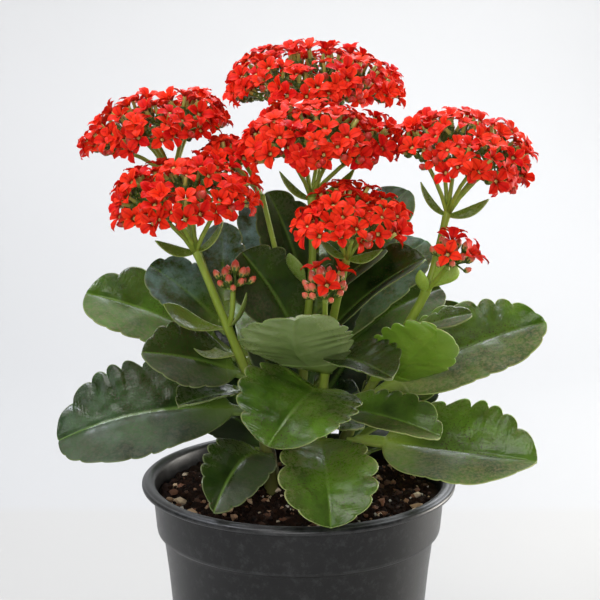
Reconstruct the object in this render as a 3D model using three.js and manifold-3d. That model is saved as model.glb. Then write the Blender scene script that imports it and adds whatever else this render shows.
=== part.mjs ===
// Potted kalanchoe: a black nursery pot filled with potting soil, six flowering stems that stand in
// the soil, broad succulent leaves with crenate edges, and umbrella heads of four-petalled flowers.
// Millimetres, +Z up. The origin is the centre of the pot's flat underside; -Y is the front.
import * as THREE from "three";
import { mergeVertices } from "three/addons/utils/BufferGeometryUtils.js";
import Module from "manifold-3d";

const wasm = await Module();
wasm.setup();

// Driving dimensions of the pot.
const POT_HEIGHT = 120;
const RIM_RADIUS = 70;
const LIP_DEPTH = 3.4;
const COLLAR_DEPTH = 23.1;
const COLLAR_TOP_RADIUS = 65.1;
const COLLAR_BOTTOM_RADIUS = 63.3;
const BODY_TOP_RADIUS = 60.8;
const BASE_RADIUS = 51.8;
const WALL = 1.2;
const FLOOR = 2;
const POT_SIDES = 32;
const DRAIN_HOLES = 6;
const DRAIN_RADIUS = 4;
const DRAIN_SIDES = 6;
const DRAIN_CIRCLE = 41;

// Driving dimensions of what grows in it.
const CLEARANCE = 0.3; // between one piece and the next
const SOIL_LEVEL = 108;
const SOIL_MOUND = 4;
const STEM_FOOT = 88; // height of the stems' lower ends, inside the soil
const LOWER_STEM_RADIUS = 3.1;
const UPPER_STEM_RADIUS = 2.1;
const SIDE_STEM_RADIUS = 1.5;
const RAY_RADIUS = 1;
const STALK_RADIUS = 0.7;
const PETIOLE = 0.2; // share of a leaf's length
const PETIOLE_HALF_WIDTH = 2.2;
const RIB_THICKNESS = 2.2;
const EDGE_THICKNESS = 1.1;
const BRACT_HALF_THICKNESS = 0.9;
const PETAL_LENGTH = 8.4;
const PETAL_HALF_WIDTH = 3.6;
const TUBE_DEPTH = 8.4;
const YOUNG_SIZE = 0.8; // of a young head's flowers
const YOUNG_TUBE = 4;
const BUD_RADIUS = 2;
const BUD_STRETCH = 1.4;
const KNOT_RADIUS = 1.9;

const UP = new THREE.Vector3(0, 0, 1);
const WHOLE = new THREE.Vector3(1, 1, 1);
const Y_TO_Z = new THREE.Quaternion().setFromAxisAngle(new THREE.Vector3(1, 0, 0), Math.PI / 2);
const GOLDEN_ANGLE = Math.PI * (3 - Math.sqrt(5));

const vec = ([x, y, z]) => new THREE.Vector3(x, y, z);
const lerp = THREE.MathUtils.lerp;
const radians = THREE.MathUtils.degToRad;

// A repeatable stream of numbers from 0 to 1.
function drawFrom(seed) {
  let state = seed;
  return () => {
    state = (state * 16807) % 2147483647;
    return state / 2147483647;
  };
}

// ---------------------------------------------------------------- solids and booleans

// A closed three.js geometry as a solid.
function solid(geometry) {
  const bare = geometry.clone();
  bare.deleteAttribute("normal");
  bare.deleteAttribute("uv");
  const merged = mergeVertices(bare, 1e-4);
  return new wasm.Manifold(
    new wasm.Mesh({
      numProp: 3,
      vertProperties: merged.attributes.position.array,
      triVerts: new Uint32Array(merged.index.array),
    }),
  );
}

// A solid as a three.js geometry.
function geometryOf(body) {
  const mesh = body.getMesh();
  const position = new Float32Array(mesh.numVert * 3);
  for (let i = 0; i < mesh.numVert; i++) {
    const from = i * mesh.numProp;
    position.set(mesh.vertProperties.subarray(from, from + 3), i * 3);
  }
  return new THREE.BufferGeometry()
    .setAttribute("position", new THREE.BufferAttribute(position, 3))
    .setIndex(new THREE.BufferAttribute(mesh.triVerts, 1));
}

const join = (pieces) => pieces.reduce((whole, piece) => whole.add(piece));

// Only the largest connected piece, so that a scrap cut loose by a join is dropped.
function largest(body) {
  const parts = body.decompose();
  return parts.reduce((a, b) => (b.volume() > a.volume() ? b : a));
}

// A profile of [radius, height] pairs turned about +Z.
function turned(profile, sides) {
  const points = profile.map(([r, z]) => new THREE.Vector2(r, z));
  return new THREE.LatheGeometry(points, sides).rotateX(Math.PI / 2);
}

// ---------------------------------------------------------------- pot and soil

const collarBottom = POT_HEIGHT - COLLAR_DEPTH;
const lipBottom = POT_HEIGHT - LIP_DEPTH;

function potSolid() {
  const shell = solid(
    turned(
      [
        [0, 0],
        [BASE_RADIUS - 2, 0],
        [BASE_RADIUS, 2.4],
        [BODY_TOP_RADIUS, collarBottom - 1],
        [COLLAR_BOTTOM_RADIUS, collarBottom],
        [COLLAR_TOP_RADIUS, lipBottom],
        [RIM_RADIUS, lipBottom + 0.4],
        [RIM_RADIUS - 0.3, POT_HEIGHT - 0.7],
        [RIM_RADIUS - 1.4, POT_HEIGHT],
        [COLLAR_TOP_RADIUS - WALL, POT_HEIGHT - 0.8],
        [COLLAR_BOTTOM_RADIUS - WALL, collarBottom + 0.8],
        [BODY_TOP_RADIUS - WALL, collarBottom - 0.4],
        [BASE_RADIUS - WALL, FLOOR],
        [0, FLOOR],
      ],
      POT_SIDES,
    ),
  );
  const drill = new THREE.CylinderGeometry(DRAIN_RADIUS, DRAIN_RADIUS, 4 * FLOOR, DRAIN_SIDES);
  drill.rotateX(Math.PI / 2);
  return Array.from({ length: DRAIN_HOLES }).reduce((pot, _, i) => {
    const turn = ((i + 0.5) * 2 * Math.PI) / DRAIN_HOLES;
    const hole = drill.clone();
    hole.translate(DRAIN_CIRCLE * Math.cos(turn), DRAIN_CIRCLE * Math.sin(turn), FLOOR / 2);
    return pot.subtract(solid(hole));
  }, shell);
}

// Crumbs on the soil's top, as a sum of waves that don't line up.
function crumbHeight(x, y) {
  return (
    0.9 * Math.sin(0.31 * x + 1.3) * Math.sin(0.27 * y - 0.4) +
    0.7 * Math.sin(0.53 * x - 0.41 * y) +
    0.5 * Math.sin(0.87 * y + 0.66 * x + 2.1)
  );
}

function soilSolid(stems) {
  const edge = COLLAR_BOTTOM_RADIUS - WALL + CLEARANCE;
  const rings = [edge, 40];
  const geometry = turned(
    [
      [0, FLOOR + CLEARANCE],
      [BASE_RADIUS - WALL - CLEARANCE, FLOOR + CLEARANCE],
      [BODY_TOP_RADIUS - WALL - CLEARANCE - 0.1, collarBottom - 0.4],
      [COLLAR_BOTTOM_RADIUS - WALL - CLEARANCE - 0.1, collarBottom + 1.3],
      ...rings.map((r) => [r, SOIL_LEVEL + SOIL_MOUND * (1 - r / edge)]),
      [0, SOIL_LEVEL + SOIL_MOUND],
    ],
    POT_SIDES,
  );
  const position = geometry.attributes.position;
  for (let i = 0; i < position.count; i++) {
    if (position.getZ(i) < SOIL_LEVEL + 0.01) continue;
    const bump = crumbHeight(position.getX(i), position.getY(i));
    position.setZ(i, position.getZ(i) + bump);
  }
  return stems.reduce((soil, stem) => soil.subtract(socketSolid(stem)), solid(geometry));
}

// ---------------------------------------------------------------- stems

// A straight-sided tube along a curve through the points.
function tube(points, radius, sides, steps) {
  const ring = new THREE.Shape();
  for (let i = 0; i < sides; i++) {
    const turn = (2 * Math.PI * i) / sides;
    const x = radius * Math.cos(turn);
    const y = radius * Math.sin(turn);
    if (i) ring.lineTo(x, y);
    else ring.moveTo(x, y);
  }
  const path = new THREE.CatmullRomCurve3(points);
  return new THREE.ExtrudeGeometry(ring, { steps, extrudePath: path, bevelEnabled: false });
}

// The point on a curve at a height, by halving.
function atHeight(curve, z) {
  let low = 0;
  let high = 1;
  for (let i = 0; i < 30; i++) {
    const middle = (low + high) / 2;
    if (curve.getPoint(middle).z < z) low = middle;
    else high = middle;
  }
  return curve.getPoint(low);
}

// Each flowering stem: the points that it passes from its foot to its umbel, where the thick leafy
// part ends (joint), its side stems, and its bracts.
const STEMS = {
  stem_left_front: {
    way: [[-10, -5, STEM_FOOT], [-13, -7, 125], [-19, -12, 160], [-30, -20, 192], [-43, -27, 227]],
    joint: 192,
    sides: [[[-30, -20, 192], [-28, -25, 200], [-27.5, -26, 209]]],
    bracts: [
      [192, [-57, -25, 203.5], 11, -35],
      [192, [-22, -23, 208], 5, 0],
      [180, [-46, -17, 184], 10, -20],
      [226, [-59, -34, 232], 6, 10],
      [226, [-31, -32, 240], 4.5, 0],
    ],
  },
  stem_left_back: {
    way: [[-8, 7, STEM_FOOT], [-13, 9, 125], [-24, 9, 165], [-40, 7, 208], [-55, 10, 253]],
    joint: 180,
    sides: [],
    bracts: [
      [251, [-72, 4, 256], 4.5, 0],
      [251, [-42, 8, 263], 4.5, 0],
    ],
  },
  stem_back: {
    way: [[2, 12, STEM_FOOT], [4, 15, 130], [6, 20, 180], [8, 28, 230], [9, 34, 266]],
    joint: 190,
    sides: [],
    bracts: [
      [264, [-7, 32, 274], 4.5, 0],
      [264, [25, 32, 274], 4.5, 0],
    ],
  },
  stem_middle: {
    way: [[-1, 0, STEM_FOOT], [0, -1, 130], [3, -3, 180], [6, -5, 220], [5.5, -6, 247]],
    joint: 185,
    sides: [[[1.5, -1, 165], [-3, 1, 192], [-10, 0, 222], [-15.7, -3, 247]]],
    bracts: [
      [245, [-8, -12, 258], 5, 0],
      [245, [24, -8, 259], 5, 0],
      [207, [-4, -12, 223], 11, 0],
    ],
  },
  stem_right: {
    way: [
      [10, 1, STEM_FOOT],
      [16, 0, 122],
      [28, -2, 154],
      [46.4, -5, 187.8],
      [56, -7, 208],
      [64, -5, 240],
    ],
    joint: 206,
    sides: [[[55.4, -8, 206], [59.5, -13, 212], [63, -18, 218]]],
    bracts: [
      [205, [52, -13, 216], 5, 0],
      [207, [67, -8, 219], 9, -30],
      [238, [52, -8, 253], 4.5, 0],
      [238, [81, -10, 246], 4.5, 0],
    ],
  },
  stem_right_front: {
    way: [[5, -11, STEM_FOOT], [7, -14, 125], [10, -20, 160], [14, -26, 194], [20, -37, 226]],
    joint: 185,
    sides: [[[12.4, -24, 180], [11.3, -33, 190], [10.9, -40, 199], [10.8, -44, 209]]],
    bracts: [
      [225, [8, -42, 236], 4.5, 0],
      [225, [34, -44, 230], 4.5, 0],
    ],
  },
};

// Each umbrella of flowers: the stem's end that carries it (fork), the centre of its underside (at),
// its radius and rise, the way it leans, and how many flowers cover it.
const HEADS = {
  head_top: {
    fork: [9, 34, 266], at: [7, 38, 286], radius: 41, rise: 24, lean: [0, 0.03, 1],
    flowers: 30, seed: 11,
  },
  head_left_back: {
    fork: [-55, 10, 253], at: [-61, 9, 272], radius: 32, rise: 20, lean: [-0.22, 0, 1],
    flowers: 19, seed: 23,
  },
  head_left_front: {
    fork: [-43, -27, 227], at: [-47, -27, 245], radius: 31, rise: 22, lean: [-0.1, -0.08, 1],
    flowers: 19, seed: 37,
  },
  head_middle: {
    fork: [5.5, -6, 247], at: [10, -13, 266], radius: 32.5, rise: 22, lean: [0, -0.08, 1],
    flowers: 20, seed: 41,
  },
  head_middle_side: {
    fork: [-15.7, -3, 247], at: [-28, 1, 260], radius: 10, rise: 9, lean: [-0.3, 0.1, 1],
    flowers: 4, seed: 53,
  },
  head_right: {
    fork: [64, -5, 240], at: [73, -6, 263], radius: 30, rise: 22, lean: [0.25, -0.08, 1],
    flowers: 18, seed: 67,
  },
  head_right_front: {
    fork: [20, -37, 226], at: [21, -42, 240], radius: 24, rise: 18, lean: [0.05, -0.15, 1],
    flowers: 12, seed: 71,
  },
};

// Each young head: the side stem's end that carries it (fork), the way it points (up), the length of
// its stalks, and how many open flowers and buds it has.
const YOUNG_HEADS = {
  young_head_right: {
    fork: [63, -18, 218], up: [0.4, -0.4, 1], reach: 13, flowers: 4, buds: 5, seed: 83,
  },
  young_head_front: {
    fork: [10.8, -44, 209], up: [0, -0.3, 1], reach: 13, flowers: 3, buds: 7, seed: 97,
  },
  young_head_left: {
    fork: [-27.5, -26, 209], up: [0, -0.1, 1], reach: 10, flowers: 0, buds: 6, seed: 101,
  },
};

// A stem: its curve, and the points of its thick run below the joint and its thin run above it.
const RUN_POINTS = 4;
const RUN_OVERLAP = 4;
function stemOf(name) {
  const { way, joint, sides, bracts } = STEMS[name];
  const curve = new THREE.CatmullRomCurve3(way.map(vec));
  const below = [];
  const above = [];
  for (let i = 0; i <= RUN_POINTS; i++) {
    below.push(atHeight(curve, lerp(STEM_FOOT, joint, i / RUN_POINTS)));
    above.push(atHeight(curve, lerp(joint - RUN_OVERLAP, way.at(-1)[2], i / RUN_POINTS)));
  }
  return { name, way, curve, joint, below, above, sides, bracts };
}

// The straight hole in the soil for a stem, from under its foot to above the soil's highest crumb.
const SOCKET_CLEARANCE = 0.7;
const SOCKET_TOP = 6;
function socketSolid({ below: [foot, next] }) {
  const along = next.clone().sub(foot).normalize();
  const floor = foot.clone().addScaledVector(along, -CLEARANCE);
  const top = next.clone().addScaledVector(along, SOCKET_TOP);
  return solid(tube([floor, top], LOWER_STEM_RADIUS + SOCKET_CLEARANCE, 8, 1));
}

// The point on a stem's straight runs at a height, with the run's direction and radius.
function axisAt(stem, z) {
  const points = z < stem.joint ? stem.below : stem.above;
  const i = Math.max(1, points.findIndex((point) => point.z >= z));
  const [low, high] = [points[i - 1], points[i]];
  return {
    centre: low.clone().lerp(high, (z - low.z) / (high.z - low.z)),
    run: high.clone().sub(low).normalize(),
    radius: z < stem.joint ? LOWER_STEM_RADIUS : UPPER_STEM_RADIUS,
  };
}

const stems = Object.keys(STEMS).map(stemOf);
const stemNamed = Object.fromEntries(stems.map((stem) => [stem.name, stem]));

// ---------------------------------------------------------------- leaves and bracts

// Half of the blade's width at a share s of its length, as a share of its greatest half width: a
// power rise from the petiole to the widest place, then a round tip.
const WIDEST = 0.64;
function swellAt(s) {
  return Math.pow(s / WIDEST, 0.95) * Math.sqrt((1 - s) / (1 - WIDEST));
}

// Stations along a leaf as [share of its length, share of its greatest half width]: the petiole's two
// ends, the blade's narrow start, then a lobe and a notch in turn to the blunt tip.
const NARROW_START = 0.16;
const FIRST_LOBE = 0.3;
const LAST_LOBE = 0.97;
const NOTCH = 0.1;
const BLUNT_TIP = 0.12;
function leafStations(lobes) {
  const onBlade = (s, swell) => [lerp(PETIOLE, 1, s), swell];
  const stations = [[0, 0], onBlade(0, 0), onBlade(NARROW_START, swellAt(NARROW_START))];
  const turns = 2 * lobes - 2;
  for (let i = 0; i <= turns; i++) {
    const s = lerp(FIRST_LOBE, LAST_LOBE, i / turns);
    stations.push(onBlade(s, swellAt(s) * (i % 2 ? 1 - NOTCH : 1)));
  }
  stations.push(onBlade(1, BLUNT_TIP));
  return stations;
}

// A leaf from root to tip: a bowed midrib with a half blade on each side, folded up by `fold`
// degrees and the whole turned by `roll` degrees about the midrib. `arch` lifts the midrib. The
// petiole leaves the stem squarely, in the direction `outward`, and twists until the blade begins.
function leafGeometry({ root, outward, tip, arch, width, roll, fold, lobes }) {
  const chord = tip.clone().sub(root);
  const along = chord.clone().normalize();
  const side = new THREE.Vector3().crossVectors(along, UP).normalize();
  const lift = new THREE.Vector3().crossVectors(side, along);
  const bend = root.clone().lerp(tip, 0.5).addScaledVector(lift, 2 * arch);
  const midrib = new THREE.QuadraticBezierCurve3(root, bend, tip);
  const top = [];
  const bottom = [];
  const stalk = PETIOLE_HALF_WIDTH * Math.min(1, width / 20 + 0.2); // thinner on a small leaf
  for (const [share, swell] of leafStations(lobes)) {
    const centre = midrib.getPoint(share);
    const ahead = share ? midrib.getTangent(share) : outward;
    const twist = radians(roll) * Math.min(1, share / PETIOLE);
    const across = side.clone().applyAxisAngle(along, twist);
    const face = new THREE.Vector3().crossVectors(across, ahead).normalize();
    const half = Math.max((width / 2) * swell, stalk);
    const folded = radians(fold) * Math.min(1, swell * 3);
    const reach = half * Math.cos(folded);
    const rise = half * Math.sin(folded);
    const thick = swell ? lerp(RIB_THICKNESS, EDGE_THICKNESS, share) : RIB_THICKNESS;
    const left = centre.clone().addScaledVector(across, reach).addScaledVector(face, rise);
    const right = centre.clone().addScaledVector(across, -reach).addScaledVector(face, rise);
    const place = (point, t) => point.clone().addScaledVector(face, t / 2);
    top.push([place(left, EDGE_THICKNESS), place(centre, thick), place(right, EDGE_THICKNESS)]);
    bottom.push([place(left, -EDGE_THICKNESS), place(centre, -thick), place(right, -EDGE_THICKNESS)]);
  }
  return closedStrip(top, bottom);
}

// The closed surface between two grids of three points a station, split alike on both faces.
function closedStrip(top, bottom) {
  const count = top.length;
  const corners = [...top.flat(), ...bottom.flat()];
  const upper = (i, j) => 3 * i + j;
  const lower = (i, j) => 3 * (count + i) + j;
  const index = [];
  const quad = (a, b, c, d) => index.push(a, b, c, a, c, d);
  for (let i = 0; i < count - 1; i++) {
    for (const j of [0, 2]) {
      const turn = j ? (a, b, c) => [a, b, c] : (a, b, c) => [a, c, b];
      index.push(...turn(upper(i, 1), upper(i + 1, 1), upper(i + 1, j)));
      index.push(...turn(upper(i, 1), upper(i + 1, j), upper(i, j)));
      index.push(...turn(lower(i, 1), lower(i + 1, j), lower(i + 1, 1)));
      index.push(...turn(lower(i, 1), lower(i, j), lower(i + 1, j)));
    }
    quad(lower(i, 0), lower(i + 1, 0), upper(i + 1, 0), upper(i, 0));
    quad(upper(i + 1, 2), lower(i + 1, 2), lower(i, 2), upper(i, 2));
  }
  const last = count - 1;
  for (const j of [0, 1]) {
    quad(upper(0, j + 1), lower(0, j + 1), lower(0, j), upper(0, j));
    quad(lower(last, j), lower(last, j + 1), upper(last, j + 1), upper(last, j));
  }
  const geometry = new THREE.BufferGeometry().setFromPoints(corners);
  geometry.setIndex(index);
  return geometry;
}

// Each leaf: [stem, height on it, tip, arch, width, roll, fold, lobes].
const LEAVES = {
  leaf_left_low: ["stem_left_front", 152, [-105, -20, 142], 9, 50, -36, 6, 6],
  leaf_left_back: ["stem_left_back", 172, [-96, 13, 201], 4, 40, -32, 2, 5],
  leaf_left_high: ["stem_left_back", 184, [-67, 12, 214], 2, 30, -40, 5, 4],
  leaf_left_middle: ["stem_left_front", 170, [-67, -30, 186], 0, 32, -14, 10, 5],
  leaf_left_folded: ["stem_left_front", 163, [-51, -40, 163], 1, 22, -12, 24, 4],
  leaf_front_left: ["stem_left_front", 132, [-35, -62, 124], 9, 30, -20, 8, 5],
  leaf_front_broad: ["stem_right_front", 172, [-7, -62, 152], 9, 52, 5, 12, 6],
  leaf_front_raised: ["stem_right_front", 181, [-3, -64, 208], -6, 46, 0, 0, 6],
  leaf_front_low: ["stem_right_front", 143, [13, -76, 122], 10, 42, 0, 8, 5],
  leaf_front_right_small: ["stem_right_front", 180, [39, -52, 178], 3, 27, 10, 15, 5],
  leaf_right_bright: ["stem_right", 164, [67, -28, 184], 4, 42, 30, 5, 6],
  leaf_right_large: ["stem_right", 156, [109, 10, 187], 4, 48, 30, 4, 6],
  leaf_right_low: ["stem_right", 138, [103, -30, 137], 9, 44, 30, 5, 6],
  leaf_right_narrow: ["stem_right", 184, [76, -10, 196], 2, 15, 25, 8, 4],
  leaf_right_folded: ["stem_right_front", 160, [60, -45, 156], 4, 30, 25, 15, 5],
  leaf_right_under: ["stem_right_front", 150, [29, -27, 150], 0, 16, 10, 10, 4],
  leaf_upright_right: ["stem_middle", 172, [56, 2, 219], 5, 34, 25, 30, 6],
  leaf_upright_inner: ["stem_middle", 188, [39, 2, 223], 4, 24, 30, 30, 5],
  leaf_upright_back_right: ["stem_back", 172, [50, 34, 245], 8, 36, 30, 5, 5],
  leaf_back_right: ["stem_back", 156, [67, 40, 198], 7, 34, 30, 8, 4],
  leaf_back_right_low: ["stem_right", 128, [80, 48, 187], 2, 40, 30, 8, 4],
  leaf_back_right_far: ["stem_back", 164, [60, 50, 219], 4, 32, 30, 8, 4],
  leaf_upright_back: ["stem_back", 184, [-14, 14, 247], 3, 30, -75, 5, 5],
  leaf_upright_left: ["stem_back", 168, [-24, 38, 239], 5, 26, -40, 5, 4],
  leaf_upright_far_left: ["stem_left_back", 188, [-35, 28, 231], 2, 22, -20, 5, 4],
  leaf_upright_middle: ["stem_middle", 176, [-25, -10, 224], 3, 34, -75, 5, 6],
  leaf_inner_left: ["stem_middle", 150, [-22, -14, 184], 2, 18, -60, 5, 4],
  leaf_rear_low: ["stem_back", 130, [8, 96, 122], 10, 46, 0, 8, 4],
  leaf_rear_left: ["stem_left_back", 142, [-45, 86, 150], 8, 42, 10, 6, 4],
  leaf_rear_right: ["stem_back", 142, [52, 82, 150], 8, 42, -10, 6, 4],
  leaf_rear_middle: ["stem_back", 164, [-6, 88, 182], 4, 40, 0, 6, 4],
  leaf_rear_far_left: ["stem_left_back", 128, [-72, 52, 126], 8, 40, 0, 6, 4],
  leaf_rear_far_right: ["stem_right", 122, [78, 58, 124], 8, 40, 0, 6, 4],
  leaf_rear_high: ["stem_back", 186, [20, 72, 216], 3, 32, 0, 6, 4],
  leaf_rear_high_left: ["stem_left_back", 160, [-36, 66, 196], 3, 32, 0, 6, 4],
};

const ROOT_CLEARANCE = 0.5;
function leafAt([stemName, height, tip, arch, width, roll, fold, lobes]) {
  const stem = stemNamed[stemName];
  const { centre, run, radius } = axisAt(stem, height);
  const outward = vec(tip).sub(centre).setZ(0).normalize();
  outward.addScaledVector(run, -outward.dot(run)).normalize();
  const root = centre.clone().addScaledVector(outward, radius + ROOT_CLEARANCE);
  return leafGeometry({ root, outward, tip: vec(tip), arch, width, roll, fold, lobes });
}

// A bract, or a small leaf too slight to have a petiole: a pointed blade of flat diamond section that
// grows out of the stem, as [height, tip, width, roll].
const BRACT_SAG = 0.12; // of its length, so that it curves up
const BRACT_STATIONS = [[0.3, 0.25], [0.65, 0.5]]; // [share of the length, half width over width]
function bractSolid(stem, [height, tip, width, roll]) {
  const root = atHeight(stem.curve, height);
  const along = vec(tip).sub(root).normalize();
  const side = new THREE.Vector3().crossVectors(along, UP).normalize();
  const lift = new THREE.Vector3().crossVectors(side, along);
  const across = side.clone().applyAxisAngle(along, radians(roll));
  const face = new THREE.Vector3().crossVectors(across, along);
  const sag = BRACT_SAG * root.distanceTo(vec(tip));
  const points = [root, vec(tip)];
  for (const [share, half] of BRACT_STATIONS) {
    const centre = root.clone().lerp(vec(tip), share);
    centre.addScaledVector(lift, -4 * sag * share * (1 - share));
    points.push(
      centre.clone().addScaledVector(across, half * width),
      centre.clone().addScaledVector(face, BRACT_HALF_THICKNESS),
      centre.clone().addScaledVector(across, -half * width),
      centre.clone().addScaledVector(face, -BRACT_HALF_THICKNESS),
    );
  }
  const index = [];
  for (let i = 0; i < 4; i++) {
    const j = (i + 1) % 4;
    index.push(0, 2 + i, 2 + j, 2 + i, 6 + j, 2 + j, 2 + i, 6 + i, 6 + j, 1, 6 + j, 6 + i);
  }
  const geometry = new THREE.BufferGeometry().setFromPoints(points);
  geometry.setIndex(index);
  return solid(geometry);
}

// A stem with its side stems, its bracts, and the rays to the heads that fork from it.
function stemSolid(stem) {
  const ends = [stem.way, ...stem.sides].map((way) => String(way.at(-1)));
  const heads = Object.values(HEADS).filter((head) => ends.includes(String(head.fork)));
  return largest(
    join([
      solid(tube(stem.below, LOWER_STEM_RADIUS, 6, 4)),
      solid(tube(stem.above, UPPER_STEM_RADIUS, 6, 3)),
      ...stem.sides.map((way) => solid(tube(way.map(vec), SIDE_STEM_RADIUS, 5, 4))),
      ...stem.bracts.map((bract) => bractSolid(stem, bract)),
      ...heads.flatMap(headRays),
    ]),
  );
}

// ---------------------------------------------------------------- flower heads

// The frame of a head: its own +Z leans by `lean`.
function headFrame({ at, lean }) {
  const turn = new THREE.Quaternion().setFromUnitVectors(UP, vec(lean).normalize());
  return new THREE.Matrix4().compose(vec(at), turn, WHOLE);
}

// A point and its outward normal on the upper half of an ellipsoid, at polar angle `polar`.
function domePoint({ radius, rise }, polar, turn) {
  const point = new THREE.Vector3(
    radius * Math.sin(polar) * Math.cos(turn),
    radius * Math.sin(polar) * Math.sin(turn),
    rise * Math.cos(polar),
  );
  const normal = new THREE.Vector3(point.x / radius ** 2, point.y / radius ** 2, point.z / rise ** 2);
  return { point, normal: normal.normalize() };
}

// The core that the flowers stand out of: a thin umbrella under them, hollow side down.
const CORE_DEPTH = 5.4;
const CORE_THICKNESS = 3.3;
const CORE_SIDES = 12;
const CORE_RING = 0.7; // polar angle of the hollow side's middle ring
function coreSolid(head) {
  const arc = (depth, polars) =>
    polars.map((polar) => [
      (head.radius - depth) * Math.sin(polar),
      (head.rise - depth) * Math.cos(polar),
    ]);
  const hollow = arc(CORE_DEPTH + CORE_THICKNESS, [0, CORE_RING, 1.3]);
  const crown = arc(CORE_DEPTH, [1.45, 0.95, 0.48, 0]);
  return solid(turned([...hollow, ...crown], CORE_SIDES).applyMatrix4(headFrame(head)));
}

// One flower: four pointed petals, each with a raised midline, over a four-sided tube that ends in a
// point. The petals' edges stand lower than the line from the flower's centre to the petal's tip.
const PETALS = 4;
const NOTCH_AT = 0.19 * PETAL_LENGTH;
const WIDE_AT = 0.6 * PETAL_LENGTH;
const PETAL_EDGE_DROP = 0.9;
const PETAL_TIP_DROP = 0.2;
function flowerGeometry(size, depth) {
  const points = [];
  for (let i = 0; i < PETALS; i++) {
    const petal = [
      [NOTCH_AT, -NOTCH_AT, -PETAL_EDGE_DROP],
      [WIDE_AT, -PETAL_HALF_WIDTH, -PETAL_EDGE_DROP],
      [PETAL_LENGTH, 0, -PETAL_TIP_DROP],
      [WIDE_AT, PETAL_HALF_WIDTH, -PETAL_EDGE_DROP],
    ];
    const turn = (2 * Math.PI * i) / PETALS;
    points.push(...petal.map((corner) => vec(corner).applyAxisAngle(UP, turn)));
  }
  const outline = points.length;
  points.push(new THREE.Vector3(0, 0, 0), new THREE.Vector3(0, 0, -depth));
  const index = [];
  for (let i = 0; i < PETALS; i++) {
    const [notch, right, tip, left] = [0, 1, 2, 3].map((corner) => 4 * i + corner);
    const next = (4 * i + 4) % outline;
    index.push(outline, notch, right, outline, right, tip, outline, tip, left, outline, left, next);
    index.push(tip, right, left, notch, next, left, notch, left, right);
    index.push(outline + 1, next, notch);
  }
  const geometry = new THREE.BufferGeometry().setFromPoints(points);
  geometry.setIndex(index);
  return geometry.scale(size, size, size);
}

// A head's flowers: a golden-angle spiral over the dome, each turned at random, in three layers so
// that a petal passes over its neighbour's. Every tube ends at the same depth, inside the core.
const RIM_POLAR = 1.5;
const LAYERS = 3;
const LAYER_STEP = 1;
function flowersOf(head) {
  const draw = drawFrom(head.seed);
  const frame = headFrame(head);
  return Array.from({ length: head.flowers }, (_, k) => {
    const share = (k + 0.5) / head.flowers;
    const polar = Math.acos(1 - share * (1 - Math.cos(RIM_POLAR)));
    const { point, normal } = domePoint(head, polar, k * GOLDEN_ANGLE);
    const tilt = new THREE.Quaternion().setFromUnitVectors(UP, normal);
    const spin = new THREE.Quaternion().setFromAxisAngle(UP, draw() * Math.PI);
    const sunk = LAYER_STEP * (k % LAYERS);
    point.addScaledVector(normal, -sunk);
    const local = new THREE.Matrix4().compose(point, tilt.multiply(spin), WHOLE);
    return solid(flowerGeometry(1, TUBE_DEPTH - sunk).applyMatrix4(local.premultiply(frame)));
  });
}

const headSolid = (head) => largest(join([coreSolid(head), ...flowersOf(head)]));

// The rays that carry a head: from the fork to just under corners of the core's hollow side.
const RAYS = 5;
const RAYS_OF_SMALL = 3;
const SMALL_HEAD = 15;
const RAY_BOW = new THREE.Vector3(0, 0, -1);
const RAY_SUNK = new THREE.Vector3(0, 0, -0.8);
function headRays(head) {
  const frame = headFrame(head);
  const inset = CORE_DEPTH + CORE_THICKNESS;
  const hollow = { radius: head.radius - inset, rise: head.rise - inset };
  const fork = vec(head.fork);
  const many = head.radius > SMALL_HEAD ? RAYS : RAYS_OF_SMALL;
  return Array.from({ length: many }, (_, i) => {
    const turn = (2 * Math.PI * i) / (many - 1);
    const { point, normal } = domePoint(hollow, i ? CORE_RING : 0, turn);
    const end = point.addScaledVector(normal, -CLEARANCE - RAY_RADIUS).applyMatrix4(frame);
    const bend = fork.clone().lerp(end, 0.5).add(RAY_BOW);
    const apart = end.clone().sub(fork).setZ(0).setLength(i ? RAY_RADIUS : 0);
    const start = fork.clone().add(apart).add(RAY_SUNK);
    return solid(tube([start, bend, end], RAY_RADIUS, 3, 1));
  });
}

// A young head: short stalks from a knot on the side stem's end, each with a bud or an open flower.
const SPREAD = 0.8; // of a half sphere, counted from its axis
function youngHeadSolid({ fork, up, reach, flowers, buds, seed }) {
  const draw = drawFrom(seed);
  const axis = vec(up).normalize();
  const tilt = new THREE.Quaternion().setFromUnitVectors(UP, axis);
  const foot = vec(fork).addScaledVector(axis, KNOT_RADIUS + CLEARANCE);
  const count = flowers + buds;
  const pieces = [new THREE.IcosahedronGeometry(KNOT_RADIUS, 0).translate(foot.x, foot.y, foot.z)];
  for (let k = 0; k < count; k++) {
    const polar = Math.acos(1 - (SPREAD * (k + 0.5)) / count);
    const turn = k * GOLDEN_ANGLE + seed;
    const out = new THREE.Vector3().setFromSphericalCoords(1, polar, turn).applyQuaternion(Y_TO_Z);
    out.applyQuaternion(tilt);
    const end = foot.clone().addScaledVector(out, reach * lerp(0.85, 1, draw()));
    const place = new THREE.Matrix4().compose(
      end,
      new THREE.Quaternion().setFromUnitVectors(UP, out),
      WHOLE,
    );
    const bloom =
      k < flowers
        ? flowerGeometry(YOUNG_SIZE, YOUNG_TUBE)
        : new THREE.OctahedronGeometry(BUD_RADIUS, 0).scale(1, 1, BUD_STRETCH);
    pieces.push(tube([foot.clone().lerp(end, 0.08), end], STALK_RADIUS, 3, 1)); // clear of the centre
    pieces.push(bloom.applyMatrix4(place));
  }
  return largest(join(pieces.map(solid)));
}

// ---------------------------------------------------------------- the whole plant

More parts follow.
